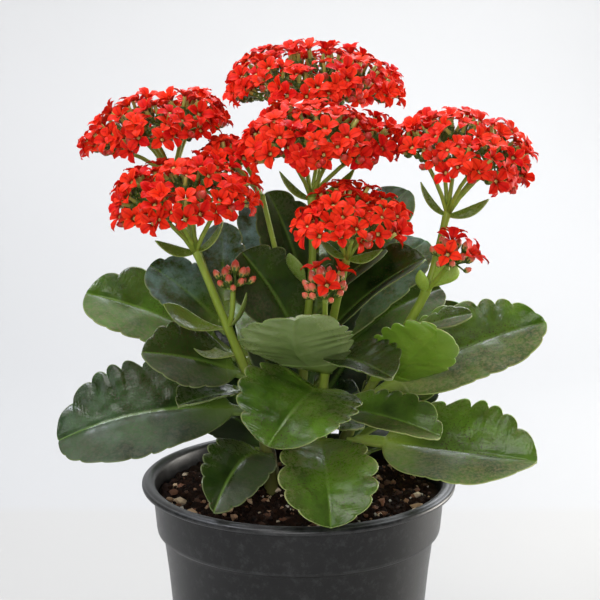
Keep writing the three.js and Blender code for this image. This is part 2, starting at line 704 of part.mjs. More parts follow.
const plastic = new THREE.MeshStandardMaterial({ color: "#3a3b3e", roughness: 0.5, metalness: 0 });
const earth = new THREE.MeshStandardMaterial({ color: "#3a2a20", roughness: 0.95, metalness: 0 });
const leafGreen = new THREE.MeshStandardMaterial({ color: "#41622f", roughness: 0.4, metalness: 0 });
const stemGreen = new THREE.MeshStandardMaterial({ color: "#7c9440", roughness: 0.5, metalness: 0 });
const petalRed = new THREE.MeshStandardMaterial({ color: "#e8201a", roughness: 0.5, metalness: 0 });

const plant = new THREE.Group();

function add(name, geometry, material) {
  const mesh = new THREE.Mesh(geometry, material);
  mesh.name = name;
  plant.add(mesh);
}

add("pot", geometryOf(potSolid()), plastic);
add("soil", geometryOf(soilSolid(stems)), earth);
for (const stem of stems) add(stem.name, geometryOf(stemSolid(stem)), stemGreen);
for (const [name, leaf] of Object.entries(LEAVES)) add(name, leafAt(leaf), leafGreen);
for (const [name, head] of Object.entries(HEADS)) add(name, geometryOf(headSolid(head)), petalRed);
for (const [name, head] of Object.entries(YOUNG_HEADS)) {
  add(name, geometryOf(youngHeadSolid(head)), petalRed);
}

export default plant;
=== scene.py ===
# %% [markdown]
# # A potted kalanchoe
# The object is a florist's kalanchoe in a black nursery pot. Its solids were drawn in CAD and are
# loaded first, in metres. They are plain on purpose, so every piece below is built again with the
# curves, veins and small flowers of the real plant, and says which solid it stands for. The work goes
# from the ground up: camera and light, pot, soil, stems, leaves, and flowers last. All shapes are
# given in millimetres.

import bpy
import numpy as np
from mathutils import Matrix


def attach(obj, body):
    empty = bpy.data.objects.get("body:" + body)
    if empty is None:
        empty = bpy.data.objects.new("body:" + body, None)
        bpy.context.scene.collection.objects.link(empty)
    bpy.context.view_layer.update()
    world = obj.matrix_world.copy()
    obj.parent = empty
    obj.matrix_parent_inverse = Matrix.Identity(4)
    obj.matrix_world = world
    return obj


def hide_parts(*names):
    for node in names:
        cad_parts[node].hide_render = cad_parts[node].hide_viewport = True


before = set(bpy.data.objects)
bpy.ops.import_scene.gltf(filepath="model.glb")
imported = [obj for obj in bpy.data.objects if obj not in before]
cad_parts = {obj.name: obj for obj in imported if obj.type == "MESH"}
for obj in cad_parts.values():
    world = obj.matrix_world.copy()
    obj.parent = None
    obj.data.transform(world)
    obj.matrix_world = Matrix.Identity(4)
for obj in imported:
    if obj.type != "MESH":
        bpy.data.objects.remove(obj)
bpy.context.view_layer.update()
MM = 0.001

# %% [markdown]
# ## Camera
# The photograph looks down on the plant a little, from about 65 cm away. A 90 mm lens on a 36 mm
# sensor gives its perspective. The camera stands level from side to side, so one angle is enough.

# %% The camera
CAMERA_AT = (0.6, -643.2, 331.9)
CAMERA_DIP = 11.58
camera = bpy.data.objects.new("camera", bpy.data.cameras.new("camera"))
camera.data.lens = 90
camera.data.sensor_width = 36
camera.location = np.array(CAMERA_AT) * MM
camera.rotation_euler = (np.radians(90 - CAMERA_DIP), 0, 0)
bpy.context.collection.objects.link(camera)
bpy.context.scene.camera = camera
print("camera:", camera.data.lens, "mm lens,", CAMERA_DIP, "degrees down")

# %% [markdown]
# ## Small helpers
# A shape here is an array of rings. Each ring is a loop of points round the shape, and one ring
# follows the next along it. Joining each ring to the next with four-sided faces gives a skin, and
# one flat face at each end closes it. A leaf, a stem, a bud and the pot can all be told this way,
# so one function makes them all.

# %% From rings to a mesh
def unit(vectors):
    """Each vector divided by its own length."""
    return vectors / np.linalg.norm(vectors, axis=-1, keepdims=True)


def grid_faces(rows, columns, wraps):
    """Four-sided faces between neighbours in a grid of points, numbered row by row. With `wraps`
    the last column joins the first."""
    across = np.arange(columns if wraps else columns - 1)
    here = (np.arange(rows - 1)[:, None] * columns + across).ravel()
    there = (np.arange(rows - 1)[:, None] * columns + (across + 1) % columns).ravel()
    return np.stack([here, there, there + columns, here + columns], axis=1)


def loft(rings):
    """Skins over rings of shape (shapes, rings, points, 3): their points, and three arrays of faces,
    which are the four-sided ones between rings and the flat ends."""
    shapes, count, sides, _ = rings.shape
    step = count * sides
    starts = np.arange(shapes) * step
    quads = grid_faces(count, sides, wraps=True) + starts[:, None, None]
    first = np.arange(sides)[::-1] + starts[:, None]
    last = np.arange(sides) + step - sides + starts[:, None]
    return rings.reshape(-1, 3), [quads.reshape(-1, 4), first, last]


def new_mesh(name, points, faces):
    """A mesh from points in millimetres and arrays of faces."""
    mesh = bpy.data.meshes.new(name)
    corners = [face for part in faces for face in part.tolist()]
    mesh.from_pydata((points * MM).tolist(), [], corners)
    return mesh


def new_piece(name, points, faces, material, slot, replaces=(), smooth=True, **values):
    """Makes a mesh object from points in millimetres. `values` are numbers kept at each point, for
    the material to read. The piece rides on the plant and stands for the CAD nodes `replaces`."""
    mesh = new_mesh(name, points, faces)
    mesh.polygons.foreach_set("use_smooth", np.full(len(mesh.polygons), smooth))
    for key, value in values.items():
        layer = mesh.attributes.new(key, "FLOAT", "POINT")
        layer.data.foreach_set("value", np.asarray(value, np.float32).ravel())
    mesh.materials.append(material)
    piece = bpy.data.objects.new(name, mesh)
    bpy.context.collection.objects.link(piece)
    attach(piece, "root")
    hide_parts(*replaces)
    return piece


def tubes(paths, radii, sides=8):
    """Round tubes along paths of shape (tubes, points, 3). Each ring is centre + radius times
    (cosine of the turn times one normal + sine of the turn times the other). The normals come from
    the world axis that the tube runs along least, so that neighbouring rings don't twist."""
    runs = unit(np.gradient(paths, axis=1))
    chords = np.abs(paths[:, -1] - paths[:, 0])
    axis = np.eye(3)[np.argmin(chords, axis=1)][:, None]
    side = unit(np.cross(runs, axis))
    other = np.cross(runs, side)
    turn = 2 * np.pi * np.arange(sides) / sides
    spokes = side[:, :, None] * np.cos(turn)[:, None] + other[:, :, None] * np.sin(turn)[:, None]
    radii = np.broadcast_to(radii, paths.shape[:2])
    return paths[:, :, None] + spokes * radii[:, :, None, None]


# %% [markdown]
# A material is a tree of shader nodes. Colours are written as sRGB hex values, as a colour picker
# shows them, and turned to the linear light that Blender works in.

# %% From hex colours and settings to shader nodes
def colour(code):
    """Linear RGBA of an sRGB hex value: each channel c becomes ((c + 0.055) / 1.055) ** 2.4."""
    channels = np.array([int(code[i : i + 2], 16) for i in (1, 3, 5)]) / 255
    linear = np.where(channels > 0.04045, ((channels + 0.055) / 1.055) ** 2.4, channels / 12.92)
    return (*linear.tolist(), 1.0)


def noise_scale(width):
    """The scale of a noise whose grains are about `width` millimetres wide. Object coordinates are
    in metres, so it is 1 over the width in metres."""
    return 1 / (width * MM)


def add_node(tree, kind, settings=None, links=None, output=None):
    """Adds a shader node and returns one of its outputs: the one named, or else the first in use. A
    setting is named for a property or for an input, and a link joins another node's output to the
    input that it names. Inputs that share one name go by number. A hex colour is turned linear."""
    node = tree.nodes.new("ShaderNode" + kind)
    settings = settings or {}
    for key, value in settings.items():
        if isinstance(key, str) and key not in node.inputs:
            setattr(node, key, value)
    inputs = {socket.name: socket for socket in node.inputs if socket.enabled}
    inputs.update(enumerate(node.inputs))
    for key, value in settings.items():
        if key in inputs:
            inputs[key].default_value = colour(value) if str(value).startswith("#") else value
    for key, source in (links or {}).items():
        tree.links.new(source, inputs[key])
    if output:
        return node.outputs[output]
    return next(socket for socket in node.outputs if socket.enabled)


def new_material(name, **settings):
    """A material, its tree, its Principled shader's inputs and its Object coordinates."""
    material = bpy.data.materials.new(name)
    material.use_nodes = True
    tree = material.node_tree
    inputs = tree.nodes["Principled BSDF"].inputs
    for key, value in settings.items():
        inputs[key.replace("_", " ")].default_value = value
    where = add_node(tree, "TexCoord", output="Object")
    print("material:", name)
    return material, tree, inputs, where


# %% [markdown]
# ## Stage and light
# The plant stands on a pale board, on a sheet of white paper that runs flat behind it and then
# curves up in one large sweep, so that no dark line shows. The sweep is far enough away to walk
# round the plant. Large soft lamps stand in for windows. Those high behind the plant make the leaves
# shine and light their edges, one lights the paper, and a broad one in front fills the shadows,
# together with a white sky.

# %% Board and paper
BOARD_END = (0.285, 0.3)  # metres behind the pot's middle, where the board gives way to the paper
PAPER_SHADE_FADE = 0.45  # metres of height over which the paper's painted shade fades, from darker low down to lighter
board, tree, shader, where = new_material("matte white board", Roughness=0.6)
height = add_node(tree, "SeparateXYZ", links={"Vector": where}, output="Z")
back = add_node(tree, "SeparateXYZ", links={"Vector": where}, output="Y")
# The paper is painted darker low down, where the lamps light it more: a painted shade that fades out as
# it rises.
upright = add_node(tree, "MapRange", {"From Max": PAPER_SHADE_FADE}, {"Value": height})
paper = add_node(tree, "Mix", {"data_type": "RGBA", "A": "#b3b3b2", "B": "#c7c7c6"}, {"Factor": upright})
past_board = add_node(
    tree, "MapRange", {"From Min": BOARD_END[0], "From Max": BOARD_END[1]}, {"Value": back}
)
white = add_node(tree, "Mix", {"data_type": "RGBA", "A": "#b2b1ae"}, {"Factor": past_board, "B": paper})
tree.links.new(white, shader["Base Color"])
FLOOR_BACK = 650
FLOOR_FRONT = -3000
WALL_TOP = 4000
COVE = 450
sweep_turn = np.linspace(0, np.pi / 2, 33)
sweep = np.concatenate([
    [[FLOOR_FRONT, 0]],
    np.stack([FLOOR_BACK + COVE * np.sin(sweep_turn), COVE - COVE * np.cos(sweep_turn)], axis=1),
    [[FLOOR_BACK + COVE, WALL_TOP]],
])
STAGE_HALF_WIDTH = 4000
stage_points = np.stack([
    np.column_stack([np.full(len(sweep), x), sweep]) for x in (STAGE_HALF_WIDTH, -STAGE_HALF_WIDTH)
], axis=1)
stage_faces = grid_faces(len(sweep), 2, wraps=False)
stage_mesh = new_mesh("stage", stage_points.reshape(-1, 3), [stage_faces])
stage_mesh.polygons.foreach_set("use_smooth", np.full(len(stage_faces), True))
stage_mesh.materials.append(board)
stage = bpy.data.objects.new("stage", stage_mesh)
bpy.context.collection.objects.link(stage)
print("stage faces:", len(stage_faces))

# %% Lamps and sky
SKY_STRENGTH = 0.065
# Each lamp: where it stands and where it points, in millimetres, its width, its watts and colour.
LAMPS = {
    "window_back": ((250, 900, 920), (0, 0, 150), 700, 11, "#f4f8ff"),
    "skylight": ((-640, 280, 1600), (-70, 0, 150), 420, 14, "#ecf1ff"),
    "window_left": ((-1500, -900, 1500), (-100, 0, 190), 900, 5, "#f4f7ff"),
    "window_right": ((850, 350, 170), (0, 0, 40), 400, 9, "#fffaf2"),
    "paper_lamp": ((-450, -300, 2600), (-500, 1100, 350), 1500, 28, "#fffdfa"),
    "front_fill": ((-300, -2400, 900), (0, 0, 190), 1200, 31, "#ffffff"),
}
for name, (at, target, width, watts, tint) in LAMPS.items():
    lamp = bpy.data.lights.new(name, "AREA")
    lamp.size = width * MM
    lamp.energy = watts
    lamp.color = colour(tint)[:3]
    holder = bpy.data.objects.new(name, lamp)
    x, y, z = (np.array(at) - target) * MM
    holder.location = np.array(at) * MM
    holder.rotation_euler = (np.arctan2(np.hypot(x, y), z), 0, np.arctan2(y, x) + np.pi / 2)
    bpy.context.collection.objects.link(holder)

sky = bpy.data.worlds.new("sky")
sky.use_nodes = True
sky.node_tree.nodes["Background"].inputs["Color"].default_value = colour("#ffffff")
sky.node_tree.nodes["Background"].inputs["Strength"].default_value = SKY_STRENGTH
bpy.context.scene.world = sky
bpy.context.scene.view_settings.view_transform = "Standard"
print("lamps:", len(LAMPS))

# %% [markdown]
# ## The pot
# Nursery pots are injection moulded from polypropylene with carbon black, so they come out charcoal
# and satin, and they scuff pale where they rub. The shape is one wall profile turned about the
# axis: a rolled lip, a collar that lets pots nest, and a body that tapers to a flat foot. A lathe
# is the natural way: rings of points, one for each corner of the profile.

# %% The pot's profile and its skin
INSIDE_RADIUS = 63.0  # of the collar's inner wall, just above the soil
POT_OUTSIDE = [  # radius, height, and how pale the corner is: rubbed, and on the lip and the collar's step also a painted highlight
    (0.3, 0.0, 0), (30, 0.0, 0), (48.5, 0.0, 0), (50.6, 0.5, 0.2), (51.7, 1.8, 0.6),
    (52.1, 4.5, 0.1), (54.0, 27, 0), (56.2, 52, 0), (58.6, 78, 0), (60.6, 94.5, 0),
    (60.9, 95.8, 0), (61.6, 96.5, 0.3), (62.8, 96.9, 0.9), (63.4, 97.4, 0.5), (63.7, 99.0, 0),
    (64.3, 106, 0), (64.9, 114, 0), (65.1, 115.7, 0), (65.6, 116.5, 0), (67.2, 116.7, 0.1),
    (69.0, 116.8, 0.5), (69.8, 117.3, 0.9), (70.0, 118.0, 0.5), (69.9, 118.7, 0.2),
    (69.4, 119.2, 0.6), (68.9, 119.3, 0.9), (68.5, 119.35, 0.2),
]
POT_INSIDE = [
    (68.0, 119.8, 0.4), (66.9, 120.0, 0.6), (65.6, 119.8, 0.3), (64.6, 119.2, 0), (63.9, 117.8, 0),
    (63.4, 113, 0), (62.6, 103, 0), (62.2, 98.8, 0), (61.4, 97.6, 0), (60.0, 96.6, 0),
    (59.4, 95.0, 0), (56.8, 68, 0), (53.6, 34, 0), (50.9, 4, 0), (50.0, 2.4, 0), (48.0, 2.0, 0),
    (30, 2.0, 0), (0.3, 2.0, 0),
]
POT_SIDES = 160
profile = np.array(POT_OUTSIDE + POT_INSIDE, float)
turn = 2 * np.pi * np.arange(POT_SIDES) / POT_SIDES
circle = np.stack([np.cos(turn), np.sin(turn), np.zeros(POT_SIDES)], axis=1)
pot_rings = profile[:, 0, None, None] * circle + profile[:, 1, None, None] * [0, 0, 1]
pot_points, pot_faces = loft(pot_rings[None])
pot_rub_and_highlight = np.repeat(profile[:, 2], POT_SIDES)
print("pot rings:", len(profile), "sides:", POT_SIDES)

# %% [markdown]
# Carbon black and moulding give a dark, slightly blue grey with a satin skin. Three things break it
# up: faint upright streaks from the mould's flow, a fine grain that blurs reflections, and pale
# dust and scuffs, mostly on the corners that rub. On the lip and the collar's step that pale is also
# a painted highlight. The real grain is near 0.2 mm, too fine to show, so it is drawn at about half a
# millimetre. Dust clumps are up to 4 mm wide, with finer ones inside.

# %% Moulded polypropylene
FLOW_STREAK = (1, 1, 0.08)  # squeezes the noise's space upright, so that its grains come out long
plastic, tree, shader, where = new_material(
    "moulded black polypropylene", IOR=1.49, Specular_IOR_Level=0.5
)
flow_space = add_node(tree, "Mapping", {"Scale": FLOW_STREAK}, {"Vector": where})
flow = add_node(tree, "TexNoise", {"Scale": noise_scale(3.85), "Detail": 3}, {"Vector": flow_space})
dust = add_node(
    tree, "TexNoise", {"Scale": noise_scale(4.35), "Detail": 8, "Roughness": 0.8}, {"Vector": where}
)
# The corners' pale is partly scuffing and partly a painted highlight along the lip and the collar's step.
rub = add_node(tree, "Attribute", {"attribute_name": "rub"}, output="Fac")
rubbed_and_highlit = add_node(tree, "MapRange", {"To Max": 0.26}, {"Value": rub})
scuffed_and_highlit = add_node(tree, "Math", {"operation": "ADD"}, {0: rubbed_and_highlit, 1: dust})
pale = add_node(tree, "MapRange", {"From Min": 0.5, "From Max": 0.8, "To Max": 0.17}, {"Value": scuffed_and_highlit})
body = add_node(tree, "Mix", {"data_type": "RGBA", "A": "#050506", "B": "#0b0c0e"}, {"Factor": flow})
dusted_and_highlit = add_node(tree, "Mix", {"data_type": "RGBA", "B": "#8d8f90"}, {"Factor": pale, "A": body})
satin = add_node(tree, "MapRange", {"To Min": 0.2, "To Max": 0.54}, {"Value": dust})
grain = add_node(tree, "TexNoise", {"Scale": noise_scale(0.556), "Detail": 2}, {"Vector": where})
bump = add_node(tree, "Bump", {"Strength": 0.12, "Distance": 0.0002}, {"Height": grain})
tree.links.new(dusted_and_highlit, shader["Base Color"])
tree.links.new(satin, shader["Roughness"])
tree.links.new(bump, shader["Normal"])

pot = new_piece(
    "nursery_pot", pot_points, pot_faces, plastic, "pot_plastic", ["pot"], rub=pot_rub_and_highlight
)

# %% [markdown]
# Six drain holes go through the floor. They cross the lathe's rings, so they can't be part of the
# profile. A boolean cut with six upright drills makes them exactly, and its result is kept as a mesh.

# %% The drain holes
DRAIN_RADIUS = 4
DRAIN_CIRCLE = 41
DRAIN_HOLES = 6
DRILL_BELOW = 3  # millimetres that a drill reaches below the pot's foot
DRILL_ABOVE = 6  # and above it
turn = 2 * np.pi * (np.arange(DRAIN_HOLES) + 0.5) / DRAIN_HOLES
feet = DRAIN_CIRCLE * np.stack([np.cos(turn), np.sin(turn), 0 * turn], axis=1)
drill_paths = np.stack([feet - [0, 0, DRILL_BELOW], feet + [0, 0, DRILL_ABOVE]], axis=1)
drill_skins = loft(tubes(drill_paths, DRAIN_RADIUS, sides=24))
drill = bpy.data.objects.new("drills", new_mesh("drills", *drill_skins))
bpy.context.collection.objects.link(drill)
cut = pot.modifiers.new("drain holes", "BOOLEAN")
cut.object = drill
cut.solver = "EXACT"
bpy.context.view_layer.update()
cut_mesh = bpy.data.meshes.new_from_object(
    pot.evaluated_get(bpy.context.evaluated_depsgraph_get())
)
pot.modifiers.clear()
pot.data = cut_mesh
bpy.data.objects.remove(drill)
print("pot faces:", len(pot.data.polygons))

# %% [markdown]
# ## The potting soil
# Potting soil is peat and composted bark with white grains of perlite. Seen from half a metre it is
# a dark crumbly bed with a few pale chips. A scan or a displaced plane would do for the bed, but a
# height told by a formula can also place what lies on it. So the bed is one surface whose height is a
# sum of waves that don't line up, with a finer sum on top. Loose crumbs, chips and grains are small
# twelve-cornered stones, each pulled out of shape, scattered over it.

# %% The bed of soil
SOIL_LEVEL = 111
SOIL_MOUND = 4
rng = np.random.default_rng(5)


def soil_height(x, y):
    """Level + mound times (1 - r / edge) + three slow waves, as in the solid, + finer waves."""
    r = np.hypot(x, y)
    slow = (
        0.9 * np.sin(0.31 * x + 1.3) * np.sin(0.27 * y - 0.4)
        + 0.7 * np.sin(0.53 * x - 0.41 * y)
        + 0.5 * np.sin(0.87 * y + 0.66 * x + 2.1)
    )
    fine = 0.45 * np.sin(2.1 * x + 0.7 * np.sin(1.7 * y)) * np.sin(2.4 * y + 1.1 * np.sin(1.3 * x))
    return SOIL_LEVEL + SOIL_MOUND * (1 - r / INSIDE_RADIUS) + slow + fine


SOIL_RINGS = 70
SOIL_SIDES = 200
SOIL_FOOT = 4  # the skin's hidden underside lies so far below the soil's level
radius = np.linspace(0.4, INSIDE_RADIUS + 0.25, SOIL_RINGS)
turn = 2 * np.pi * np.arange(SOIL_SIDES) / SOIL_SIDES
x, y = radius[:, None] * np.cos(turn), radius[:, None] * np.sin(turn)
top = np.stack([x, y, soil_height(x, y)], axis=2)
under = top[-1] * [0.985, 0.985, 0] + [0, 0, SOIL_LEVEL - SOIL_FOOT]
middle = under * [0.01, 0.01, 1]
soil_rings = np.concatenate([middle[None], under[None], top[::-1]])[None]
soil_points, soil_faces = loft(soil_rings)
print("soil from", top[..., 2].min().round(1), "to", top[..., 2].max().round(1), "mm high")

# %% Crumbs, bark chips and perlite
GOLD = (1 + 5**0.5) / 2
STONE = unit(np.array([
    (-1, GOLD, 0), (1, GOLD, 0), (-1, -GOLD, 0), (1, -GOLD, 0), (0, -1, GOLD), (0, 1, GOLD),
    (0, -1, -GOLD), (0, 1, -GOLD), (GOLD, 0, -1), (GOLD, 0, 1), (-GOLD, 0, -1), (-GOLD, 0, 1),
]))
STONE_FACES = np.array([
    (0, 11, 5), (0, 5, 1), (0, 1, 7), (0, 7, 10), (0, 10, 11), (1, 5, 9), (5, 11, 4), (11, 10, 2),
    (10, 7, 6), (7, 1, 8), (3, 9, 4), (3, 4, 2), (3, 2, 6), (3, 6, 8), (3, 8, 9), (4, 9, 5),
    (2, 4, 11), (6, 2, 10), (8, 6, 7), (9, 8, 1),
])
print("a stone's corners:", len(STONE), "faces:", len(STONE_FACES))


def facing(axes, spins):
    """Three directions for each shape, as rows: its own X and Y, turned by the spin, and its own Z,
    which is the axis. Turned by the spin, X is cosine times one direction square to the axis + sine
    times the other, and Y is cosine times the other - sine times the one."""
    axes = unit(axes)
    tilted = np.abs(axes[:, 2:]) < 0.9
    helper = np.where(tilted, [0.0, 0.0, 1.0], [1.0, 0.0, 0.0])
    a = unit(np.cross(helper, axes))
    b = np.cross(axes, a)
    c, s = np.cos(spins)[:, None], np.sin(spins)[:, None]
    return np.stack([c * a + s * b, c * b - s * a, axes], axis=1)


def stones(count, small, large, flat, reach, sunk):
    """Stones with half widths from small to large, mostly small, pressed to `flat` of their width,
    spread evenly over a disc of radius `reach` and sunk by a share of their size. Each corner is
    moved out or in by up to a third, so that no two are alike. Returns points, faces and a shade."""
    size = small + (large - small) * rng.random(count) ** 2.4
    r, t = reach * np.sqrt(rng.random(count)), 2 * np.pi * rng.random(count)
    x, y = r * np.cos(t), r * np.sin(t)
    z = soil_height(x, y) + size * (flat - sunk)
    stretch = np.stack([size, size * (0.55 + 0.4 * rng.random(count)), size * flat], axis=1)
    tilt = np.column_stack([0.35 * rng.normal(size=(count, 2)), np.ones(count)])
    turned = facing(tilt, 2 * np.pi * rng.random(count))
    corners = STONE * (0.67 + 0.66 * rng.random((count, len(STONE), 1))) * stretch[:, None]
    points = np.einsum("nij,njk->nik", corners, turned) + np.stack([x, y, z], axis=1)[:, None]
    faces = STONE_FACES + len(STONE) * np.arange(count)[:, None, None]
    return points.reshape(-1, 3), [faces.reshape(-1, 3)], np.repeat(rng.random(count), len(STONE))


# %% [markdown]
# Peat is brown where it dries, and almost black in the hollows of its grain, which is painted shade
# there as well as wetness. Bark chips are tan to red brown, and perlite is an off-white volcanic glass
# foam. All of them scatter light and hardly shine. Peat dries in crumbs of about 2 mm. Bark fibres
# and perlite's pores are finer than the render can show, so they are drawn about a millimetre wide.

# %% Peat, bark and perlite
peat, tree, shader, where = new_material("moist peat", Roughness=0.92, Specular_IOR_Level=0.2)
crumble = add_node(
    tree, "TexNoise", {"Scale": noise_scale(2.38), "Detail": 6, "Roughness": 0.75}, {"Vector": where}
)
# Near black where the grain's noise is low, in the hollows of its bump: painted shade there, brown on the
# crumbs.
dryness_and_hollow_shade = add_node(tree, "MapRange", {"From Min": 0.35, "From Max": 0.72}, {"Value": crumble})
brown = add_node(tree, "Mix", {"data_type": "RGBA", "A": "#040202", "B": "#3c2416"}, {"Factor": dryness_and_hollow_shade})
bump = add_node(tree, "Bump", {"Strength": 0.9, "Distance": 0.0012}, {"Height": crumble})
tree.links.new(brown, shader["Base Color"])
tree.links.new(bump, shader["Normal"])

bark, tree, shader, where = new_material("composted bark", Roughness=0.85)
shade = add_node(tree, "Attribute", {"attribute_name": "shade"}, output="Fac")
tone = add_node(tree, "ValToRGB", links={"Fac": shade})
tones = tone.node.color_ramp.elements
tones[0].color = colour("#2b1a12")
tones[1].color = colour("#f4e0c4")
tones.new(0.5).color = colour("#946246")
tones.new(0.8).color = colour("#e8c49c")
fibre = add_node(tree, "TexNoise", {"Scale": noise_scale(1.11), "Detail": 4}, {"Vector": where})
fibred = add_node(
    tree,
    "Mix",
    {"data_type": "RGBA", "blend_type": "MULTIPLY", "Factor": 0.35},
    {"A": tone, "B": fibre},
)
bump = add_node(tree, "Bump", {"Strength": 0.6, "Distance": 0.0005}, {"Height": fibre})
tree.links.new(fibred, shader["Base Color"])
tree.links.new(bump, shader["Normal"])

perlite, tree, shader, where = new_material("perlite", Roughness=0.8)
pores = add_node(tree, "TexNoise", {"Scale": noise_scale(0.667), "Detail": 3}, {"Vector": where})
grey = add_node(tree, "Mix", {"data_type": "RGBA", "A": "#8f8579", "B": "#ece6db"}, {"Factor": pores})
tree.links.new(grey, shader["Base Color"])

# %% The bed and what lies on it
new_piece("soil_bed", soil_points, soil_faces, peat, "potting_soil", ["soil"])
SCATTER_RADIUS = INSIDE_RADIUS - 1.5
SCATTER = {  # count, smallest and largest half width, flatness, share sunk, material
    "soil_crumbs": (2600, 0.5, 2.1, 0.8, 0.5, peat),
    "bark_chips": (420, 0.6, 2.6, 0.55, 0.2, bark),
    "bark_pieces": (40, 1.8, 4.0, 0.5, 0.15, bark),
    "perlite_grains": (150, 0.4, 1.1, 0.85, 0.2, perlite),
}
for name, (count, small, large, flat, sunk, material) in SCATTER.items():
    points, faces, shade = stones(count, small, large, flat, SCATTER_RADIUS - large, sunk)
    new_piece(name, points, faces, material, "potting_soil", smooth=False, shade=shade)
    print(name + ":", count)

# %% [markdown]
# ## The stems
# Six stems rise from the soil. Each is a tapering tube along a curve through a few points, thick
# and leafy up to a joint and thinner above it. The curve is a Catmull-Rom spline, which passes
# through its points, and its knots are spaced by the square root of their distances, so that it
# doesn't overshoot. The tube swells a little wherever a leaf or a bract leaves it.

# %% The stems' ways, side stems and bracts
STEM_FOOT = 88
LOWER_STEM_RADIUS = 3.1
UPPER_STEM_RADIUS = 1.8
LEAFY_STEM_RADIUS = 2.0
FORK_RADIUS = 1.55
SIDE_STEM_RADIUS = 1.15
# Each stem: the points of its way, the height of the joint where it turns thin, the points of its
# side stems, and its bracts as (height, tip, width, roll in degrees).
STEMS = {
    "stem_left_front": (
        [(-10, -5, 88), (-13, -7, 125), (-19, -12, 160), (-30, -20, 192), (-43, -27, 227)], 192,
        [[(-30, -20, 192), (-28, -25, 200), (-27.5, -26, 209)]],
        [(192, (-57, -25, 203.5), 11, -35), (192, (-22, -23, 208), 5, 0),
         (180, (-46, -17, 184), 10, -20), (226, (-59, -34, 232), 6, -40),
         (226, (-31, -32, 240), 5, 45)],
    ),
    "stem_left_back": (
        [(-8, 7, 88), (-13, 9, 125), (-24, 9, 165), (-40, 7, 208), (-55, 10, 253)], 180,
        [],
        [(251, (-72, 4, 256), 5, -45), (251, (-42, 8, 263), 5, 45)],
    ),
    "stem_back": (
        [(2, 12, 88), (4, 15, 130), (6, 20, 180), (8, 28, 230), (9, 34, 266)], 190,
        [],
        [(264, (-7, 32, 274), 5, -45), (264, (25, 32, 274), 5, 45)],
    ),
    "stem_middle": (
        [(-1, 0, 88), (0, -1, 130), (3, -3, 180), (6, -5, 220), (5.5, -6, 247)], 185,
        [[(1.5, -1, 165), (-3, 1, 192), (-10, 0, 222), (-15.7, -3, 247)]],
        [(245, (-8, -12, 258), 5, -45), (245, (24, -8, 259), 5, 45), (207, (-4, -12, 223), 11, 0)],
    ),
    "stem_right": (
        [(10, 1, 88), (16, 0, 122), (28, -2, 154), (46.4, -5, 187.8), (56, -7, 208),
         (64, -5, 240)], 206,
        [[(55.4, -8, 206), (59.5, -13, 212), (63, -18, 218)]],
        [(205, (52, -13, 216), 6, 0), (207, (67, -10, 220), 12, -60),
         (238, (52, -8, 253), 5, -45), (238, (81, -10, 246), 5.5, 45)],
    ),
    "stem_right_front": (
        [(5, -11, 88), (7, -14, 125), (10, -20, 160), (14, -26, 194), (20, -37, 226)], 185,
        [[(12.4, -24, 180), (11.3, -33, 190), (10.9, -40, 199), (10.8, -44, 209)]],
        [(225, (8, -42, 236), 5, -45), (225, (34, -44, 230), 5, 45)],
    ),
}
print("stems:", len(STEMS), "bracts:", sum(len(stem[3]) for stem in STEMS.values()))
